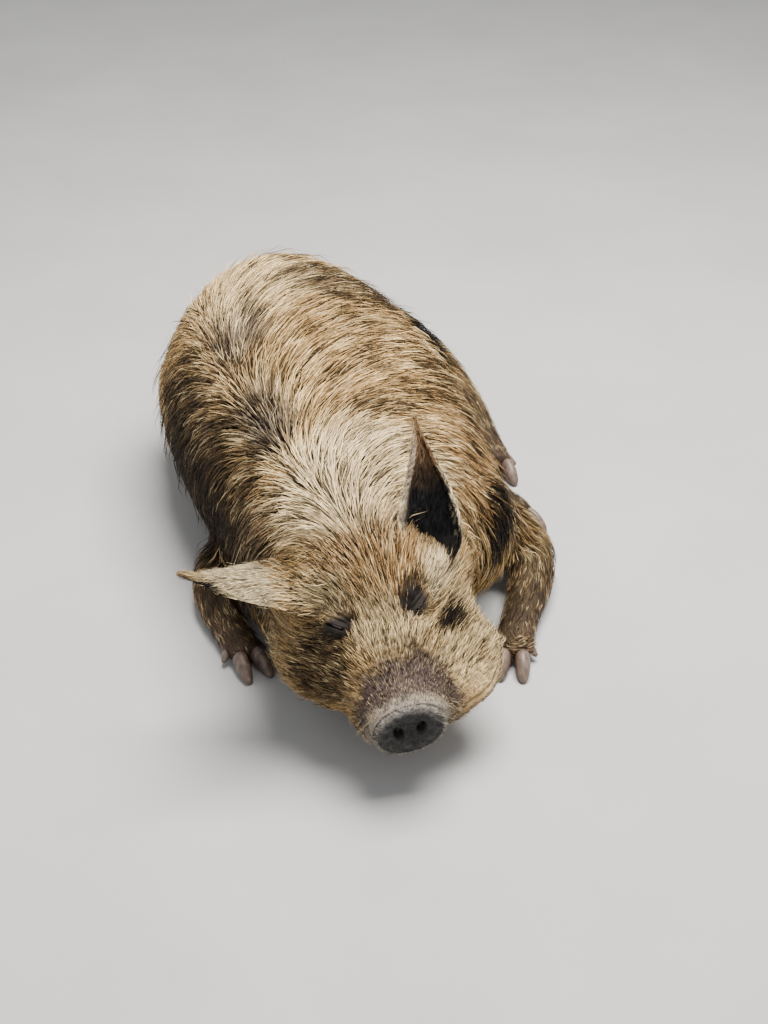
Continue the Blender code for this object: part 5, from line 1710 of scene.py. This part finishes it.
def eye_material(side):
    """A dark brown iris with its pupil and a thin pale rim, wet."""
    made, tree, shader = new_material(f"eye_wet_{'left' if side > 0 else 'right'}")
    place = node(tree, "ShaderNodeTexCoord").outputs["Object"]
    front = eye_place(side) + eye_turn(side) @ Vector((0, EYE_R - EYE_SUNK, 0)) + SHIFT
    away = node(tree, "ShaderNodeVectorMath", operation="DISTANCE")
    away.inputs[1].default_value = front
    tree.links.new(place, away.inputs[0])
    scaled = node(tree, "ShaderNodeMath", operation="MULTIPLY")
    scaled.inputs[1].default_value = IRIS_SCALE
    tree.links.new(away.outputs["Value"], scaled.inputs[0])
    base = ramp_node(tree, scaled.outputs[0],
                     ((0.14, (0.004, 0.003, 0.003)), (0.20, (0.055, 0.026, 0.012)),
                      (0.34, (0.030, 0.016, 0.010)), (0.42, (0.30, 0.22, 0.18))))
    dress(tree, shader, base, Roughness=0.08, Coat_Weight=0.6)
    return made


def skin_colours(places):
    """The markings as the skin between the hairs shows them: much darker under the coat, its own darker
    tone with painted shade of the hair, and in full colour on the bare muzzle.
    """
    colour, dark = markings(places)
    s = head_local(places)[0]
    bare = ramp(s, 0.125, 0.165) * (places[:, 1] < MUZZLE_Y)
    # Under the coat the skin is drawn far darker than the hair: its own darker tone and painted shade of
    # the hair over it.
    under = colour * 0.16 * (1 - 0.4 * dark)[:, None] + np.array(UNDERSKIN)
    return under * (1 - bare)[:, None] + colour * bare[:, None]


def tint(thing, colours_at):
    """Colours a thing by a function of its places."""
    tint_mesh(thing.data, colours_at(mesh_arrays(thing.data)[0]))


def give(things, material):
    """Gives things one material."""
    for thing in things:
        thing.data.materials.clear()
        thing.data.materials.append(material)


# Floor, light and camera.

CAMERA_AT = Vector((-0.66, -2.08, 1.57))
CAMERA_TURN = -20.0
CAMERA_DOWN = 33.0
LENS = 56.25
SENSOR = 36.0
FLOOR_SIZE = 14.0
SKY_COLOUR = (0.93, 0.96, 1.0, 1.0)
SKY_STRENGTH = 0.60
# Lights: name, place, size, power and colour; and the point at which they are aimed.
LIGHTS = (
    ("key", (0.5, -0.1, 3.0), 1.8, 330.0, (1.0, 0.97, 0.92)),
    ("fill", (-1.4, -2.6, 1.4), 2.2, 16.0, (0.95, 0.97, 1.0)),
)
LIT = Vector((0, 0, 0.2))


def stage():
    """A pale floor and soft light from above."""
    shape = bmesh.new()
    bmesh.ops.create_grid(shape, x_segments=1, y_segments=1, size=FLOOR_SIZE)
    floor = object_from("floor", shape)
    made, tree, shader = new_material("floor_pale")
    tone = ramp_node(tree, grain(tree, 3.0), ((0.3, (0.40, 0.395, 0.385)), (0.7, (0.44, 0.435, 0.425))))
    dress(tree, shader, tone, Roughness=0.9)
    give([floor], made)
    world = bpy.data.worlds.new("studio")
    world.use_nodes = True
    sky = world.node_tree.nodes["Background"].inputs
    sky["Color"].default_value = SKY_COLOUR
    sky["Strength"].default_value = SKY_STRENGTH
    bpy.context.scene.world = world
    for name, place, size, power, tone in LIGHTS:
        light = bpy.data.lights.new(name, "AREA")
        light.size = size
        light.energy = power
        light.color = tone
        lamp = add_object(name, light)
        lamp.location = place
        lamp.rotation_euler = (LIT - lamp.location).to_track_quat("-Z", "Y").to_euler()


def set_camera():
    """The photo's viewpoint."""
    camera = bpy.data.cameras.new("camera")
    camera.lens = LENS
    camera.sensor_width = SENSOR
    holder = add_object("camera", camera)
    turn, down = math.radians(CAMERA_TURN), math.radians(CAMERA_DOWN)
    back = Vector((math.sin(turn) * math.cos(down), -math.cos(turn) * math.cos(down), math.sin(down)))
    holder.location = CAMERA_AT + SHIFT
    holder.rotation_euler = back.to_track_quat("Z", "Y").to_euler()
    bpy.context.scene.camera = holder


def solids_shift():
    """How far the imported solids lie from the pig's own frame, from the left eye's ball."""
    low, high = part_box("eye_left")
    own = eye_place(1) - eye_turn(1) @ Vector((0, EYE_SUNK, 0))
    return (low + high) / 2 - own


def place_piece(thing, nodes=()):
    """Moves a piece from the pig's own frame to the solids and hangs it on the body."""
    thing.data.transform(Matrix.Translation(SHIFT))
    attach(thing, "root")
    if nodes:
        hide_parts(*nodes)


def main():
    """Builds, colours and places all pieces; the order of the random draws is kept."""
    draw = np.random.default_rng(SEED)
    skin = make_skin()
    tint(skin, skin_colours)
    coats = body_coat(skin, draw) + whiskers(skin, draw)
    leaves = {}
    for name in EARS:
        leaf = ear_leaf(name)
        tint(leaf, lambda places: ear_colour(places, name) * EAR_SKIN_SHADE)
        coats += ear_coat(leaf, name, draw)
        leaves[name] = leaf
    coats += ear_cover(skin, leaves["ear_right"], "ear_right", draw)
    tail_skin, tail_coat = make_tail(draw)
    tint(tail_skin, skin_colours)
    coats += tail_coat
    snout, claws, eyes = make_snout(), make_claws(), make_eyes()
    tint(snout, disc_colours)
    coats += rim_hairs(snout, draw)
    give(coats, coat_material())
    give([skin, tail_skin] + list(leaves.values()), skin_material())
    give([snout], snout_material())
    give(claws.values(), claw_material())
    for name, side in EYES.items():
        give([eyes[name]], eye_material(side))
    flesh_nodes = ["head", "neck", "torso", "foot_hind_left"] + [f"leg_{name}" for name in LEGS]
    place_piece(skin, flesh_nodes)
    place_piece(tail_skin, ["tail"])
    place_piece(snout, ["snout"])
    for slot, things in (("coat", leaves), ("hoof", claws), ("eye", eyes)):
        for name, thing in things.items():
            place_piece(thing, [name])
    for thing in coats:
        place_piece(thing)
    stage()
    set_camera()


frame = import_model()
SHIFT = solids_shift()
main()
